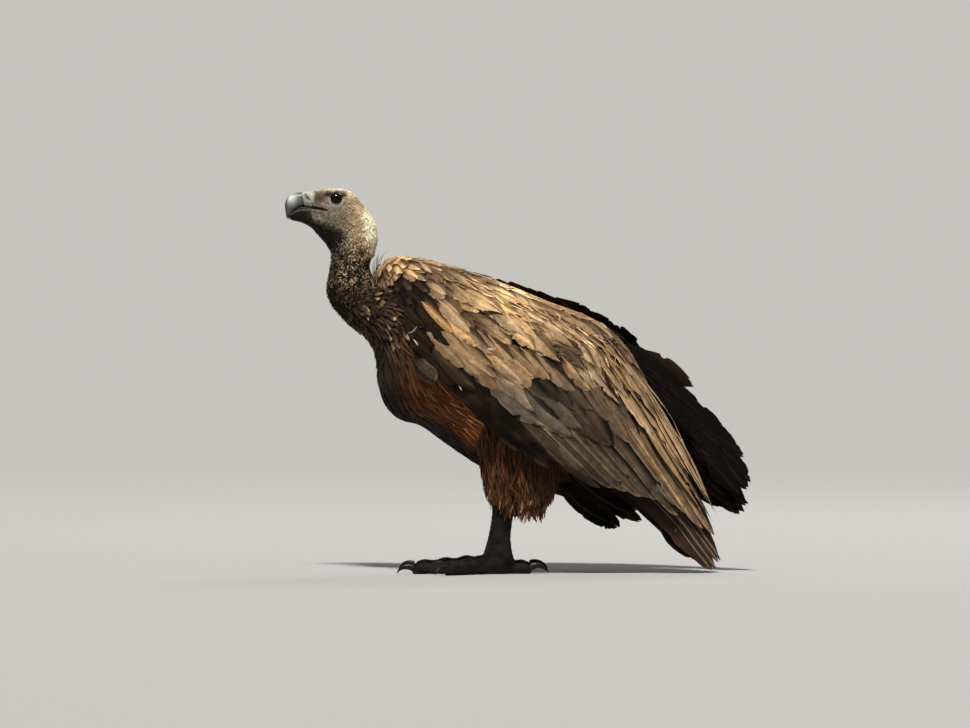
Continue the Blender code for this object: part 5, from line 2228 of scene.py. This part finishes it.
def arm_shade(x: Array, z: Array) -> Array:
    """The coverts' vane colour: tan over the shoulder and back, darker in front, greyer low and behind, with
    painted shadow in patches and along the upper edge behind, and painted light over the back.

    Args:
        x: Places on the wing.
        z: Their heights.

    Returns:
        Linear colours.
    """
    depth = from_top(x, z)
    shade = np.broadcast_to(COVERT_TAN, (*x.shape, 3))
    below = ramp(-6, 30, curve_distance(SCAPULAR_EDGE, x, z))
    grey = ramp(264, 236, z) * (0.2 + 0.8 * ramp(0, 45, x))
    lower = mix((0.36, 0.23, 0.125), (0.1, 0.082, 0.058), grey)
    shade = mix(shade, lower, below * ramp(-60, -10, x))
    at = np.stack([x, 0 * x, z], -1)
    # painted shadow: two darker patches on the coverts
    shade = mix(
        shade, COVERT_TAN * 0.35, 0.85 * np.maximum(near(at, 30, 344, 27), 0.8 * near(at, -122, 426, 22))
    )
    # painted light: brighter over the back, on the mid coverts and on one covert lower down
    lit = 0.4 * np.maximum(near(at, -42, 402, 34), near(at, -140, 380, 20))
    shade = shade * (1 + np.maximum(lit, 0.9 * near(at, 54, 266, 24)))[..., None]
    shade = shade * (1 - 0.3 * near(at, -95, 335, 24))[..., None]
    rear = ramp(60, 150, x) * ramp(300, 250, z)
    shade = mix(shade, (0.2, 0.13, 0.075), rear * 0.7)
    # painted shadow along the wing's upper edge behind the shoulder
    crest = ramp(30, 6, depth) * ramp(-40, 40, x)
    shade = mix(shade, (0.07, 0.033, 0.015), crest * 0.9)
    patch = noise(at, 30, 7)
    return shade * np.exp(0.55 * patch)[..., None]


# painted light brightens the shoulder's top
PAINTED_SHOULDER_LIGHT = (-166, 431, 20)  # the shoulder's top, as x, z and reach
# x, z, reach and share of the patches of painted shade on single coverts
SHADE_PATCHES = (
    (112, 196, 34, 0.5), (-66, 306, 26, 0.35), (94, 243, 25, 0.55), (97, 138, 22, 0.45), (-24, 262, 20, 0.35)
)


def wing_light_and_shade(p: Array) -> Array:
    """How much of their colour the feathers keep, as painted light and shade: least under the scapulars and
    along the lower front, less in patches, and most on the shoulder's top.

    Args:
        p: Places.

    Returns:
        The share kept at each place.
    """
    # the hollow under the scapulars: darker feathers, deepened by painted shadow; and painted shade below the
    # shaded edge along the lower front
    hollow = ramp(36, 30, beside(p, (-152, 376), (-131, 326)))
    front = ramp(-10, -2, curve_distance(SHADED_EDGE, p[..., 0], p[..., 2])) * ramp(100, 60, p[..., 0])
    rough = 1 + 0.12 * noise(p, 16, 8)
    # patches of painted shade on single coverts
    dull = 0
    for x, z, reach, share in SHADE_PATCHES:
        dull = np.maximum(dull, share * near(p, x, z, reach))
    kept = np.clip(1 - 0.95 * np.maximum(hollow, front) * rough, 0.04, 1)
    # painted light on the shoulder's top
    return kept * (1 - dull) * (1 + 0.7 * near(p, *PAINTED_SHOULDER_LIGHT))


def back_light_and_shade(p: Array) -> Array:
    """How much of their colour the scapulars keep: most over the shoulder and back, as painted light, and
    least in two places behind it, as painted shadow.
    """
    dark = np.maximum(0.5 * near(p, 60, 316, 26), 0.3 * near(p, -110, 402, 20))
    return (1 + 0.8 * near(p, *PAINTED_SHOULDER_LIGHT) + 0.2 * near(p, -30, 395, 50)) * (1 - dark)


def tip_wear(p: Array) -> Array:
    """How much paler the near wing's primaries are worn towards their tips."""
    return 1 + 3.5 * ramp(140, 240, p[..., 0]) * (p[..., 1] < 0)


@dataclass
class Wing:
    """One folded wing: quills, three kinds of coverts, scapulars and the dark lining."""

    side: int
    word: str
    quills: int = 21
    primaries: int = 10

    def __post_init__(self) -> None:
        """Sets the chart that the wing's feathers lie on."""
        self.chart = WingShell(self.side)

    def hang(self, pile: MeshPile, coat: str, vane: PlumeFinish, slot: str, plate: str = "") -> None:
        """Hangs one of the wing's coats.

        Args:
            pile: Its feathers.
            coat: Its name without the side.
            vane: Its finish, named without the side.
            slot: Its slot.
            plate: The wing's plain plate that it stands for, if any.
        """
        nodes = [f"wing_{self.word}_{plate}"] if plate else []
        finish = replace(vane, name=f"{vane.name}_{self.word}").material()
        pile.hang(f"{coat}_{self.word}", finish, slot, *nodes)

    def heading(self, angle: Array, a: Array, b: Array) -> Array:
        """Directions in space for angles below level in the side view."""
        _, pa, pb, _ = self.chart.slopes(a, b)
        return unit(pa * np.cos(angle)[:, None] - pb * np.sin(angle)[:, None])

    def build(self) -> None:
        """Builds the wing's pieces."""
        self.add_flight()
        self.add_lining()
        self.add_coverts()
        self.add_scapulars()

    def along(
        self, paths: Array, count: int, rng: Random, jitter: float
    ) -> tuple[Array, Array, Array, Array, Pair]:
        """Feathers that run from roots to tips spaced evenly between named paths.

        Args:
            paths: Root and tip of a few of them, lowest first.
            count: How many feathers.
            rng: Random numbers.
            jitter: Spread of the tips in millimetres.

        Returns:
            Root x, root z, direction, length and the tips' x and z.
        """
        rows = spline(paths, np.linspace(0, len(paths) - 1, count))
        rows[:, 2:] += rng.normal(0, jitter, (count, 2)) * np.array([1, 0.5])
        dx, dz = rows[:, 2] - rows[:, 0], rows[:, 3] - rows[:, 1]
        a, b = rows[:, 0], rows[:, 1]
        way = self.heading(np.arctan2(-dz, dx), a, b)
        start = self.chart.point(a, b)
        stretch = np.zeros(count)
        for k in range(12):
            end = self.chart.point(a + dx * (k + 1) / 12, b + dz * (k + 1) / 12)
            stretch += np.linalg.norm(end - start, axis=1)
            start = end
        return a, b, way, stretch, (rows[:, 2], rows[:, 3])

    def add_flight(self) -> None:
        """Lays primaries and secondaries, each lower edge over the next lower feather."""
        rng = np.random.default_rng(101)
        pile = MeshPile()
        count = self.quills + self.primaries
        tiles = strips(count, 8)
        a, b, way, length, goal = self.along(PRIMARY_PATHS, self.primaries, rng, 2)
        blade = Cut(
            Outline.BLADE, 46, 13, camber=0.1, bow=0, fray=0.02, ragged=0.03, shaft=self.side * 0.4,
            ridge=0.5
        )
        flock = Flock(a, b, way, length, 26, -6.5, -1.5, self.side, 0.3, goal)
        dye = Dye(
            QUILL_BLACK, QUILL_BLACK, QUILL_BROWN, (0.06, 0.045, 0.03), edge_share=0.7, shaft_mm=0.9,
            variety=0.12, blotch=0.3, light_and_wear=tip_wear
        )
        lay(pile, self.chart, blade, flock, dye, 102, tiles[: self.primaries])
        self.hang(pile, "primary_quills", PlumeFinish("primary_vane", 0.5, 0.25), "primaries", "primaries")
        pile = MeshPile()
        a, b, way, length, goal = self.along(SECONDARY_PATHS, self.quills, rng, 4.5)
        blade = Cut(
            Outline.BLADE, 50, 17, camber=0.2, bow=0, fray=0.03, ragged=0.06, shaft=self.side * 0.25,
            ridge=0.6
        )
        order = np.linspace(0, 1, self.quills)
        width = (37 - 13 * order) * rng.uniform(0.8, 1.2, self.quills)
        flock = Flock(a, b, way, length, width, -5 + order, 0.5, self.side * 3.2, 0, goal)
        ends = np.maximum(ramp(0.5, 1, order) * 0.7, ramp(0.25, 0.1, order) * 0.8)
        vane = mix(WING_GREY * rng.uniform(0.45, 1.3, (self.quills, 1)), (0.2, 0.12, 0.06), ends)
        edge = mix(vane * 1.3, COVERT_TAN, np.clip(rng.random(self.quills) * 0.7 + 0.4 * order - 0.15, 0, 1))
        # painted shadow on each quill's side under the next one, and painted light and shade by place on the
        # wing
        dye = Dye(
            QUILL_BROWN, vane, edge, (0.2, 0.17, 0.13), root_end=0.3, edge_from=0.72, tip_from=0.95,
            edge_share=0.9, shaft_mm=0.7, variety=0.14, blotch=0.4, streak=0.14, under_shadow=-self.side * 0.94,
            under_shadow_from=-0.5, light_and_wear=wing_light_and_shade
        )
        lay(pile, self.chart, blade, flock, dye, 103, tiles[self.primaries :])
        self.hang(
            pile, "secondary_quills", PlumeFinish("secondary_vane", 0.6, 0.35), "secondaries", "secondaries"
        )

    def add_lining(self) -> None:
        """Lays the dark feathers on the wing's inner side."""
        rng = np.random.default_rng(111)
        pile = MeshPile()
        outer = np.vstack([PRIMARY_PATHS[:3] + np.array([0, 8, -8, 14]), (-60, 292, 222, 92)])
        paths = np.vstack([outer, SECONDARY_PATHS[1:] - np.array([0, 0, 8, -8])])
        paths[3:, 1] -= 22
        a, b, way, length, goal = self.along(paths, 26, rng, 3)
        blade = Cut(Outline.BLADE, 34, 7, camber=-0.1, bow=0, fray=0.05, ragged=0.05)
        flock = Flock(a, b, way, length, 27, -12, 0.3, -self.side * 0.8, 0.2, goal)
        dye = Dye(
            QUILL_BLACK, QUILL_BLACK * 1.2, QUILL_BROWN, (0.05, 0.035, 0.022), edge_share=0.5, shaft_mm=0.8,
            variety=0.12
        )
        lay(pile, self.chart, blade, flock, dye, 112, strips(26, 7))
        a, b = scatter(self.chart, (-120, 20), (285, 400), Gap(13), self.inner_edge, 9000, 113)
        n = len(a)
        angle = wing_lie(a, b) + rng.normal(0, 0.08, n) - 0.12
        long, width = rng.uniform(44, 64, n), rng.uniform(20, 27, n)
        bend = rng.normal(0, 0.1, n)
        flock = Flock(a, b, self.heading(angle, a, b), long, width, -10.5, -0.5, -self.side * 0.5, bend)
        dye = Dye(
            QUILL_BLACK, QUILL_BROWN, QUILL_BROWN * 2.2, (0.05, 0.03, 0.018), edge_from=0.8, edge_share=0.6,
            shaft_mm=0.6, variety=0.25
        )
        lay(pile, self.chart, SCAPULAR, flock, dye, 114)
        if self.side == RIGHT:
            self.add_rear_edge(pile, rng)
        self.hang(pile, "wing_lining", PlumeFinish("lining_vane", 0.6, 0.2), "primaries")

    def add_rear_edge(self, pile: MeshPile, rng: Random) -> None:
        """Lays the dark feathers that run along the raised wing's rear edge and a little over it.

        Args:
            pile: The mesh that takes them.
            rng: Random numbers.
        """
        count = 90
        at = np.linspace(0, 1, count)
        edge = WING_UPPER_EDGE[(WING_UPPER_EDGE[:, 0] > 60) & (WING_UPPER_EDGE[:, 1] > 50)]
        last = len(edge) - 1
        spot = 2.2 + at * (last - 2.2)
        place = spline(edge, spot)
        along = unit(spline(edge, np.minimum(spot + 0.3, last)) - spline(edge, spot - 0.3))
        inward = np.stack([along[:, 1], -along[:, 0]], -1)
        high = place[:, 1]
        # two ragged bunches whose tips stand off the wing, with a notch behind each
        upper = 19 * ramp(345, 295, high)
        lower = 17 * ramp(225, 125, high) * (high > 108) + 7 * (high < 100)
        bunch = np.where(high > 266, upper, lower)
        deep = rng.uniform(5, 34, count)
        out = (1 + bunch) * rng.uniform(0.6, 1.1, count) - 0.8 * (deep - 5)
        root = spline(edge, spot - 1.7) + inward * (deep + 6)[:, None]
        tip = place + along * rng.uniform(12, 28, count)[:, None] - inward * (out - 2)[:, None]
        sheet = EdgeSheet(self.side)
        a, b = root[:, 0], root[:, 1]
        way = sheet.point(tip[:, 0], tip[:, 1]) - sheet.point(a, b)
        long, width = np.linalg.norm(way, axis=1), rng.uniform(20, 26, count)
        flock = Flock(a, b, way, long, width, -0.12 * np.arange(count) + 2, -1, 0, 0, (tip[:, 0], tip[:, 1]))
        # near-black: partly the feathers' own dark undersides, partly painted shade on the raised wing
        vane = mix(QUILL_BLACK, (0.017, 0.008, 0.004), ramp(255, 290, high))
        dye = Dye(QUILL_BLACK, vane, vane * 1.6, QUILL_BROWN, shaft_mm=0.6, variety=0.25, streak=0.15)
        cut = Cut(Outline.SOFT, 17, 9, camber=-0.06, bow=0, fray=0.05, ragged=0.15, draped=False)
        lay(pile, sheet, cut, flock, dye, 115)

    def inner_edge(self, p: Array, a: Array, b: Array) -> Array:
        """True in the band along the upper edge where the lining's small feathers lie."""
        depth = from_top(a, b)
        return (depth > 9) & (depth < 70) & (a < 222) & (b > 105)

    def on_arm(self, p: Array, a: Array, b: Array) -> Array:
        """True between the wing's edges and in front of the greater coverts."""
        inside = (from_top(a, b) > 3) & (curve_distance(WING_LOWER_EDGE, a, b) < -6)
        return inside & (curve_distance(GREATER_TIPS, a, b) < -100)

    def add_coverts(self) -> None:
        """Lays greater, median and lesser coverts."""
        rng = np.random.default_rng(121)
        pile = MeshPile()
        for shift_x, shift_z, count, length, width, height, root_end in GREATER_ROWS:
            tips = spline(GREATER_TIPS, np.linspace(0, len(GREATER_TIPS) - 1, count))
            tips = tips + np.array((shift_x, shift_z)) + rng.normal(0, 5, (count, 2))
            angle = wing_lie(tips[:, 0], tips[:, 1]) + rng.normal(0, 0.03, count)
            long = length * rng.uniform(0.92, 1.08, count)
            for _ in range(8):
                a, b = tips[:, 0] - long * np.cos(angle), tips[:, 1] + long * np.sin(angle)
                long = np.where(from_top(a, b) < 14, long * 0.9, long)
            vane = arm_shade(tips[:, 0], tips[:, 1]) * rng.uniform(0.55, 1.15, (count, 1))
            edge = mix(vane * 1.5, COVERT_PALE, rng.random(count) * 0.5)
            goal = (tips[:, 0], tips[:, 1])
            bend = rng.normal(0, 0.1, count)
            flock = Flock(
                a, b, self.heading(angle, a, b), long, width, height, 1.8, self.side * 1.4, bend, goal
            )
            # painted shadow on each covert's side under the next one, and painted light and shade by place on
            # the wing
            dye = Dye(
                COVERT_DARK, vane, edge, vane * 1.5, root_end, 0.8, 0.9, 0.6, 0.45, variety=0.16, blotch=0.3,
                streak=0.12, under_shadow=-self.side * 0.9, under_shadow_from=-0.15, whole=True, light_and_wear=wing_light_and_shade
            )
            lay(pile, self.chart, COVERT, flock, dye, 137 + int(shift_x))
        a, b = scatter(self.chart, (-212, 180), (150, 445), Gap(8, 8), self.on_arm, 16000, 131)
        n = len(a)
        angle = wing_lie(a, b) + rng.normal(0, 0.09, n)
        grown = ramp(-200, -60, a)
        long = (30 + 32 * grown) * rng.uniform(0.85, 1.2, n)
        vane = arm_shade(a, b) * rng.uniform(0.45, 1.15, (n, 1))
        edge = mix(vane * 1.5, COVERT_PALE, 0.45)
        width, rise = (15 + 10 * grown) * rng.uniform(0.85, 1.15, n), 3.2 + rng.normal(0, 0.5, n)
        roll, bend = rng.normal(0, 0.5, n), rng.normal(0, 0.1, n)
        flock = Flock(a, b, self.heading(angle, a, b), long, width, -2.8, rise, roll, bend)
        # painted shadow on each covert's side under the next one, and painted light and shade by place on the
        # wing
        dye = Dye(
            COVERT_DARK, vane, edge, root_end=0.8, edge_from=0.75, tip_from=0.82, edge_share=0.7, variety=0.2,
            blotch=0.3, streak=0.12, under_shadow=-self.side * 0.8, under_shadow_from=-0.1, whole=True, light_and_wear=wing_light_and_shade
        )
        lay(pile, self.chart, COVERT, flock, dye, 132)
        self.hang(pile, "wing_coverts", PlumeFinish("covert_vane"), "coverts", "arm")

    def over_back(self, p: Array, a: Array, b: Array) -> Array:
        """True over the shoulder and back, and along the crest behind them."""
        depth = from_top(a, b)
        crest = (depth > (7 if self.side == LEFT else 22)) & (depth < 34) & (a > 60) & (a < 132)
        return ((depth > 1) & (curve_distance(SCAPULAR_EDGE, a, b) < -38) & (a < 112)) | crest

    def add_scapulars(self) -> None:
        """Lays the long soft feathers over the top of the wing."""
        rng = np.random.default_rng(141)
        gap = Gap(7, 6.5, -185, -90)
        a, b = scatter(self.chart, (-205, 230), (195, 446), gap, self.over_back, 20000, 142)
        n = len(a)
        angle = wing_lie(a, b) + rng.normal(0, 0.1, n)
        grown = ramp(-190, -90, a)
        long = (24 + 52 * grown) * rng.uniform(0.8, 1.3, n) * (1 - 0.3 * ramp(60, 110, a))
        angle = angle + 0.1 * ramp(60, 120, a)
        vane = arm_shade(a, b) * rng.uniform(0.55, 1.35, (n, 1))
        edge = mix(vane * 1.35, COVERT_PALE, 0.5)
        height = 0.2 - 3.4 * ramp(26, 6, from_top(a, b))
        width, rise = (11 + 16 * grown) * rng.uniform(0.75, 1.25, n), 4.2 + rng.normal(0, 1.2, n)
        roll, bend = rng.normal(0, 0.8, n), rng.normal(0, 0.12, n)
        flock = Flock(a, b, self.heading(angle, a, b), long, width, height, rise, roll, bend)
        root = mix(vane * 0.4, COVERT_DARK, ramp(-120, -40, a))
        # painted shadow on each feather's side under the next one, and painted light and shade by place on
        # the back
        dye = Dye(
            root, vane, edge, root_end=0.66, edge_from=0.78, tip_from=0.85, edge_share=0.6, variety=0.2,
            blotch=0.3, streak=0.16, under_shadow=-self.side * 0.75, under_shadow_from=0, light_and_wear=back_light_and_shade
        )
        pile = MeshPile()
        lay(pile, self.chart, SCAPULAR, flock, dye, 143)
        self.add_tertials(pile, rng)
        self.add_wisps(pile, rng)
        if self.side == LEFT:
            self.add_strays(pile, rng)
        self.hang(pile, "scapulars", PlumeFinish("scapular_vane"), "coverts")

    def add_wisps(self, pile: MeshPile, rng: Random) -> None:
        """Adds the thin loose barbs that stand a little off the back's feathers.

        Args:
            pile: The mesh that takes them.
            rng: Random numbers.
        """
        a, b = scatter(self.chart, (-200, 230), (195, 446), Gap(7.5), self.over_back, 9000, 146)
        inside = from_top(a, b) > 14
        a, b = a[inside], b[inside]
        n = len(a)
        angle = wing_lie(a, b) + rng.normal(0, 0.2, n)
        long, width, height = (rng.uniform(*ends, n) for ends in ((14, 30), (1.6, 3.4), (3.2, 4.8)))
        rise, bend = rng.normal(0.6, 0.6, n), rng.normal(0, 0.5, n)
        flock = Flock(a, b, self.heading(angle, a, b), long, width, height, rise, 0, bend)
        vane = arm_shade(a, b) * np.exp(rng.normal(-0.1, 0.3, (n, 1)))
        dye = Dye(vane * 0.6, vane, mix(vane, COVERT_PALE, rng.random(n) * 0.4), root_end=0.4, variety=0.2)
        lay(pile, self.chart, WISP, flock, dye, 147)

    def add_tertials(self, pile: MeshPile, rng: Random) -> None:
        """Adds the long narrow feathers along the rear edge, with pale rims and dark gaps that are partly
        painted shadow.

        Args:
            pile: The mesh that takes them.
            rng: Random numbers.
        """
        cut = Cut(Outline.SOFT, 29, 13, camber=0.2, bow=0.02, fray=0.1, ragged=0.25)
        for paths, count, low in ((UNDER_TERTIAL_PATHS, 13, -1.5), (TERTIAL_PATHS, 20, 0.5)):
            order = np.linspace(0, 1, count)
            a, b, way, length, goal = self.along(paths, count, rng, 3)
            width = (21 - 6 * order) * rng.uniform(0.85, 1.15, count)
            flock = Flock(
                a, b, way, length, width, low + 0.8 * order, 1.5, self.side * 3, rng.normal(0, 0.1, count),
                goal
            )
            vane = mix((0.2, 0.125, 0.065), COVERT_TAN, rng.random(count) * 0.6)
            # painted shadow on each feather's side under the next one
            dye = Dye(
                COVERT_DARK, vane, mix(vane, COVERT_PALE, 0.6), COVERT_DARK, root_end=0.4, edge_from=0.7,
                tip_from=0.9, shaft_mm=0.4, variety=0.15, blotch=0.3, streak=0.16, under_shadow=-self.side * 0.97,
                under_shadow_from=-0.25
            )
            lay(pile, self.chart, cut, flock, dye, 148 + count)

    def add_strays(self, pile: MeshPile, rng: Random) -> None:
        """Adds the bits of white down caught between the feathers, and one fluffed round covert.

        Args:
            pile: The mesh that takes them.
            rng: Random numbers.
        """
        # x, z, angle below level in degrees, length and width
        rows = np.array((
            (-151, 334, -6, 20, 2.6), (-144, 326, 42, 13, 3.2), (-46, 312, 14, 15, 4), (81, 281, 62, 13, 4),
            (93, 283, 60, 17, 4.6), (-82, 262, 50, 9, 2.2)
        ))
        a, b, angle = rows[:, 0], rows[:, 1], np.radians(rows[:, 2])
        bend = rng.normal(0, 0.5, len(a))
        flock = Flock(a, b, self.heading(angle, a, b), rows[:, 3], rows[:, 4] * 0.8, 4, 1.5, 0, bend)
        lay(
            pile, self.chart, SMALL_LANCE, flock,
            Dye((0.25, 0.2, 0.14), (0.5, 0.45, 0.36), (0.62, 0.58, 0.5)), 144
        )
        a, b, angle = np.array([-146]), np.array([299]), np.radians([49])
        dye = Dye(
            (0.012, 0.009, 0.006), (0.06, 0.042, 0.028), (0.16, 0.12, 0.08), (0.1, 0.08, 0.06), edge_from=0.8,
            tip_from=0.9, shaft_mm=0.4, streak=0.2
        )
        round_cut = Cut(Outline.ROUND, 17, 15, camber=0.3, bow=0.06, fray=0.03, ragged=0.06)
        flock = Flock(a, b, self.heading(angle, a, b), 48, 27, 0.5, 3.5, 0, 0.3)
        lay(pile, self.chart, round_cut, flock, dye, 145)


@dataclass
class Mantle:
    """Feathers of the hind neck and back, which bridge the space between the two wings."""

    saddle: Saddle = field(default_factory=Saddle)
    bristles: int = 14

    def build(self) -> None:
        """Builds the back's feathers and the dark skin under them."""
        saddle = self.saddle
        rng = np.random.default_rng(151)
        pile = MeshPile()
        gap = Gap(5.5, 6, -190, -120)
        a, b = scatter(saddle, (-207, -34), (150, 34), gap, anywhere, 7000, 152)
        n = len(a)
        _, pa, pb, _ = saddle.slopes(a, b)
        way = unit(pa) + unit(pb) * (np.sign(b) * 0.12 + rng.normal(0, 0.1, n))[:, None]
        grown = ramp(-200, -110, a)
        long = (13 + 55 * grown) * rng.uniform(0.85, 1.2, n)
        vane = arm_shade(a, wing_top(a) - 12) * rng.uniform(0.5, 1.2, (n, 1))
        edge = mix(vane * 1.3, COVERT_PALE, 0.4)
        rise, roll, bend = 3.8 + rng.normal(0, 0.7, n), rng.normal(0, 0.6, n), rng.normal(0, 0.1, n)
        flock = Flock(a, b, way, long, 7.5 + 17 * grown, -3, rise, roll, bend)
        dye = Dye(
            vane * 0.4, vane, edge, root_end=0.6, edge_from=0.75, tip_from=0.82, edge_share=0.7, variety=0.2,
            blotch=0.3, streak=0.14
        )
        lay(pile, saddle, COVERT, flock, dye, 153)
        n = self.bristles
        a, b = rng.uniform(-204, -196, n), rng.uniform(-12, 12, n)
        way = np.broadcast_to((0.3, 0, 0.95), (n, 3))
        flock = Flock(
            a, b, way, rng.uniform(18, 30, n), 2.6, -1, rng.uniform(7, 15, n), 0, rng.normal(0, 0.3, n)
        )
        lay(pile, saddle, STUBBLE, flock, Dye(QUILL_BLACK, QUILL_BLACK, QUILL_BLACK), 154)
        pile.hang("mantle_feathers", PlumeFinish("mantle_vane").material(), "coverts")
        pile = MeshPile()
        a, b = grid_of(np.linspace(-196, 170, 120), np.linspace(-1, 1, 40))
        b = b * (14 + 44 * ramp(-196, -110, a))
        top = saddle.raised(a, b, np.full(a.shape, -6))
        floor = saddle.raised(a, b, np.full(a.shape, -14))
        grid = np.concatenate([top, floor[:, ::-1]], axis=1)
        pile.add_grid(grid, COVERT_DARK * 0.6, np.zeros(3), True, np.full(2, 0.5))
        pile.hang("back_underdown", DownFinish("back_wool").material(), "coverts")


@dataclass
class Tail:
    """Twelve tail feathers in an arched fan."""

    count: int = 12

    def build(self) -> None:
        """Builds the fan's feathers, the middle pair on top."""
        fan = TailFan()
        rng = np.random.default_rng(161)
        b = np.linspace(-0.92, 0.92, self.count)
        a = np.zeros(self.count)
        start, end = fan.point(a, b), fan.point(a + 1, b)
        length = np.linalg.norm(end - start, axis=1) * rng.uniform(1.02, 1.1, self.count)
        pile = MeshPile()
        for half in (-1, 1):
            mine = np.sign(b) == half
            blade = Cut(
                Outline.BLADE, 34, 13, camber=0.12, bow=0, fray=0.1, ragged=0.12, shaft=half * 0.2, ridge=0.5
            )
            tips = rng.uniform(1.02, 1.13, mine.sum()), b[mine]
            height = -1.5 + 1.2 * (1 - np.abs(b[mine]))
            way, long = (end - start)[mine], length[mine]
            flock = Flock(a[mine], b[mine], way, long, 27, height, -0.3, -half, 0, tips)
            dye = Dye(
                QUILL_BLACK, QUILL_BLACK, QUILL_BROWN, (0.04, 0.03, 0.022), edge_share=0.6, shaft_mm=0.8,
                variety=0.1, blotch=0.3
            )
            lay(pile, fan, blade, flock, dye, 162 + half, strips(self.count, 4)[mine])
        pile.hang("tail_quills", PlumeFinish("tail_vane", 0.55, 0.25).material(), "tail_feathers", "tail")


# ---- studio ---------------------------------------------------------------------------------
@dataclass
class Studio:
    """A pale floor, soft light from above and the camera level with the bird's body."""

    floor_radius: float = 60
    distance: float = 6
    view_width: float = 1.358
    sensor: float = 36
    centre: Spot = (-0.0469, 0.2912)
    low_sky: float = 0.07
    high_sky: float = 0.32
    backdrop: float = 0.566

    def build(self) -> None:
        """Makes floor, lamps, sky and camera."""
        self.add_floor()
        warm, cool = (1, 0.96, 0.9), (1, 0.98, 0.95)
        self.add_lamp(
            "SUN", "key", (-0.15, -0.95, 1.9), (0, 0, 0), energy=4.9, angle=math.radians(6), color=warm
        )
        self.add_lamp("AREA", "rim", (1.2, 2.2, 2.7), (1.2, 2.2, 3), size=1.4, energy=30, color=cool)
        self.add_sky()
        bpy.context.scene.view_settings.view_transform = "Standard"
        self.add_camera()

    def add_floor(self) -> None:
        """Adds the round floor."""
        mesh = bpy.data.meshes.new("studio_floor")
        radius, turns = self.floor_radius, ring(96)
        rim = [(radius * math.cos(turn), radius * math.sin(turn), 0) for turn in turns]
        mesh.from_pydata(rim, [], [list(range(len(rim)))])
        floor = put(bpy.data.objects.new("studio_floor", mesh))
        mesh.materials.append(FloorFinish().material())

    def add_sky(self) -> None:
        """Adds the soft sky, brighter above, and the plain backdrop that the camera sees."""
        world = bpy.data.worlds.new("soft_sky")
        world.use_nodes = True
        nodes, link = world.node_tree.nodes, world.node_tree.links.new
        sky = nodes["Background"]
        sky.inputs["Color"].default_value = (1, 0.972, 0.925, 1)
        seen = nodes.new("ShaderNodeLightPath").outputs["Is Camera Ray"]
        level = nodes.new("ShaderNodeMapRange")
        level.inputs["To Max"].default_value = self.backdrop
        link(seen, level.inputs["Value"])
        place = nodes.new("ShaderNodeSeparateXYZ")
        link(nodes.new("ShaderNodeTexCoord").outputs["Generated"], place.inputs[0])
        dome = nodes.new("ShaderNodeMapRange")
        dome.inputs["To Min"].default_value, dome.inputs["To Max"].default_value = self.low_sky, self.high_sky
        link(place.outputs["Z"], dome.inputs["Value"])
        link(dome.outputs[0], level.inputs["To Min"])
        link(level.outputs[0], sky.inputs["Strength"])
        bpy.context.scene.world = world

    def add_camera(self) -> None:
        """Adds the camera, level with the bird's body."""
        data = bpy.data.cameras.new("camera")
        data.sensor_width = self.sensor
        data.lens = self.sensor * self.distance / self.view_width
        data.clip_end = 200
        camera = put(bpy.data.objects.new("camera", data))
        camera.location = (self.centre[0], -self.distance, self.centre[1])
        camera.rotation_euler = (math.pi / 2, 0, 0)
        bpy.context.scene.camera = camera

    def add_lamp(self, kind: str, name: str, away: Colour, place: Colour, **values: object) -> None:
        """Adds one lamp.

        Args:
            kind: SUN or AREA.
            name: Its name.
            away: The direction that its light comes from.
            place: Where it stands, in metres.
            values: Its strength, size and colour.
        """
        data = bpy.data.lights.new(name, kind)
        for key, value in values.items():
            setattr(data, key, value)
        x, y, z = away
        lamp = put(bpy.data.objects.new(name, data))
        lamp.location = place
        lamp.rotation_euler = (0, math.atan2(math.hypot(x, y), z), math.atan2(y, x))


def main() -> None:
    """Builds every sub-assembly in order."""
    logging.basicConfig(level=logging.INFO, format="%(message)s", stream=sys.stdout)
    Studio().build()
    skin = Skin()
    skin.build()
    skin.eyes.build_balls()
    Bill().build()
    claws = HornFinish("talon_horn", 0.35, 0.05, (400, 400, 400), 0.2).material()
    for word, side in SIDES.items():
        Leg(side).build_claws(word, claws)
        Wing(side, word).build()
    HeadDown(skin).build()
    NeckDown(skin).build()
    BodyPlumage(skin).build()
    ThighFeathers().build()
    Mantle().build()
    Tail().build()


if __name__ == "__main__":
    main()
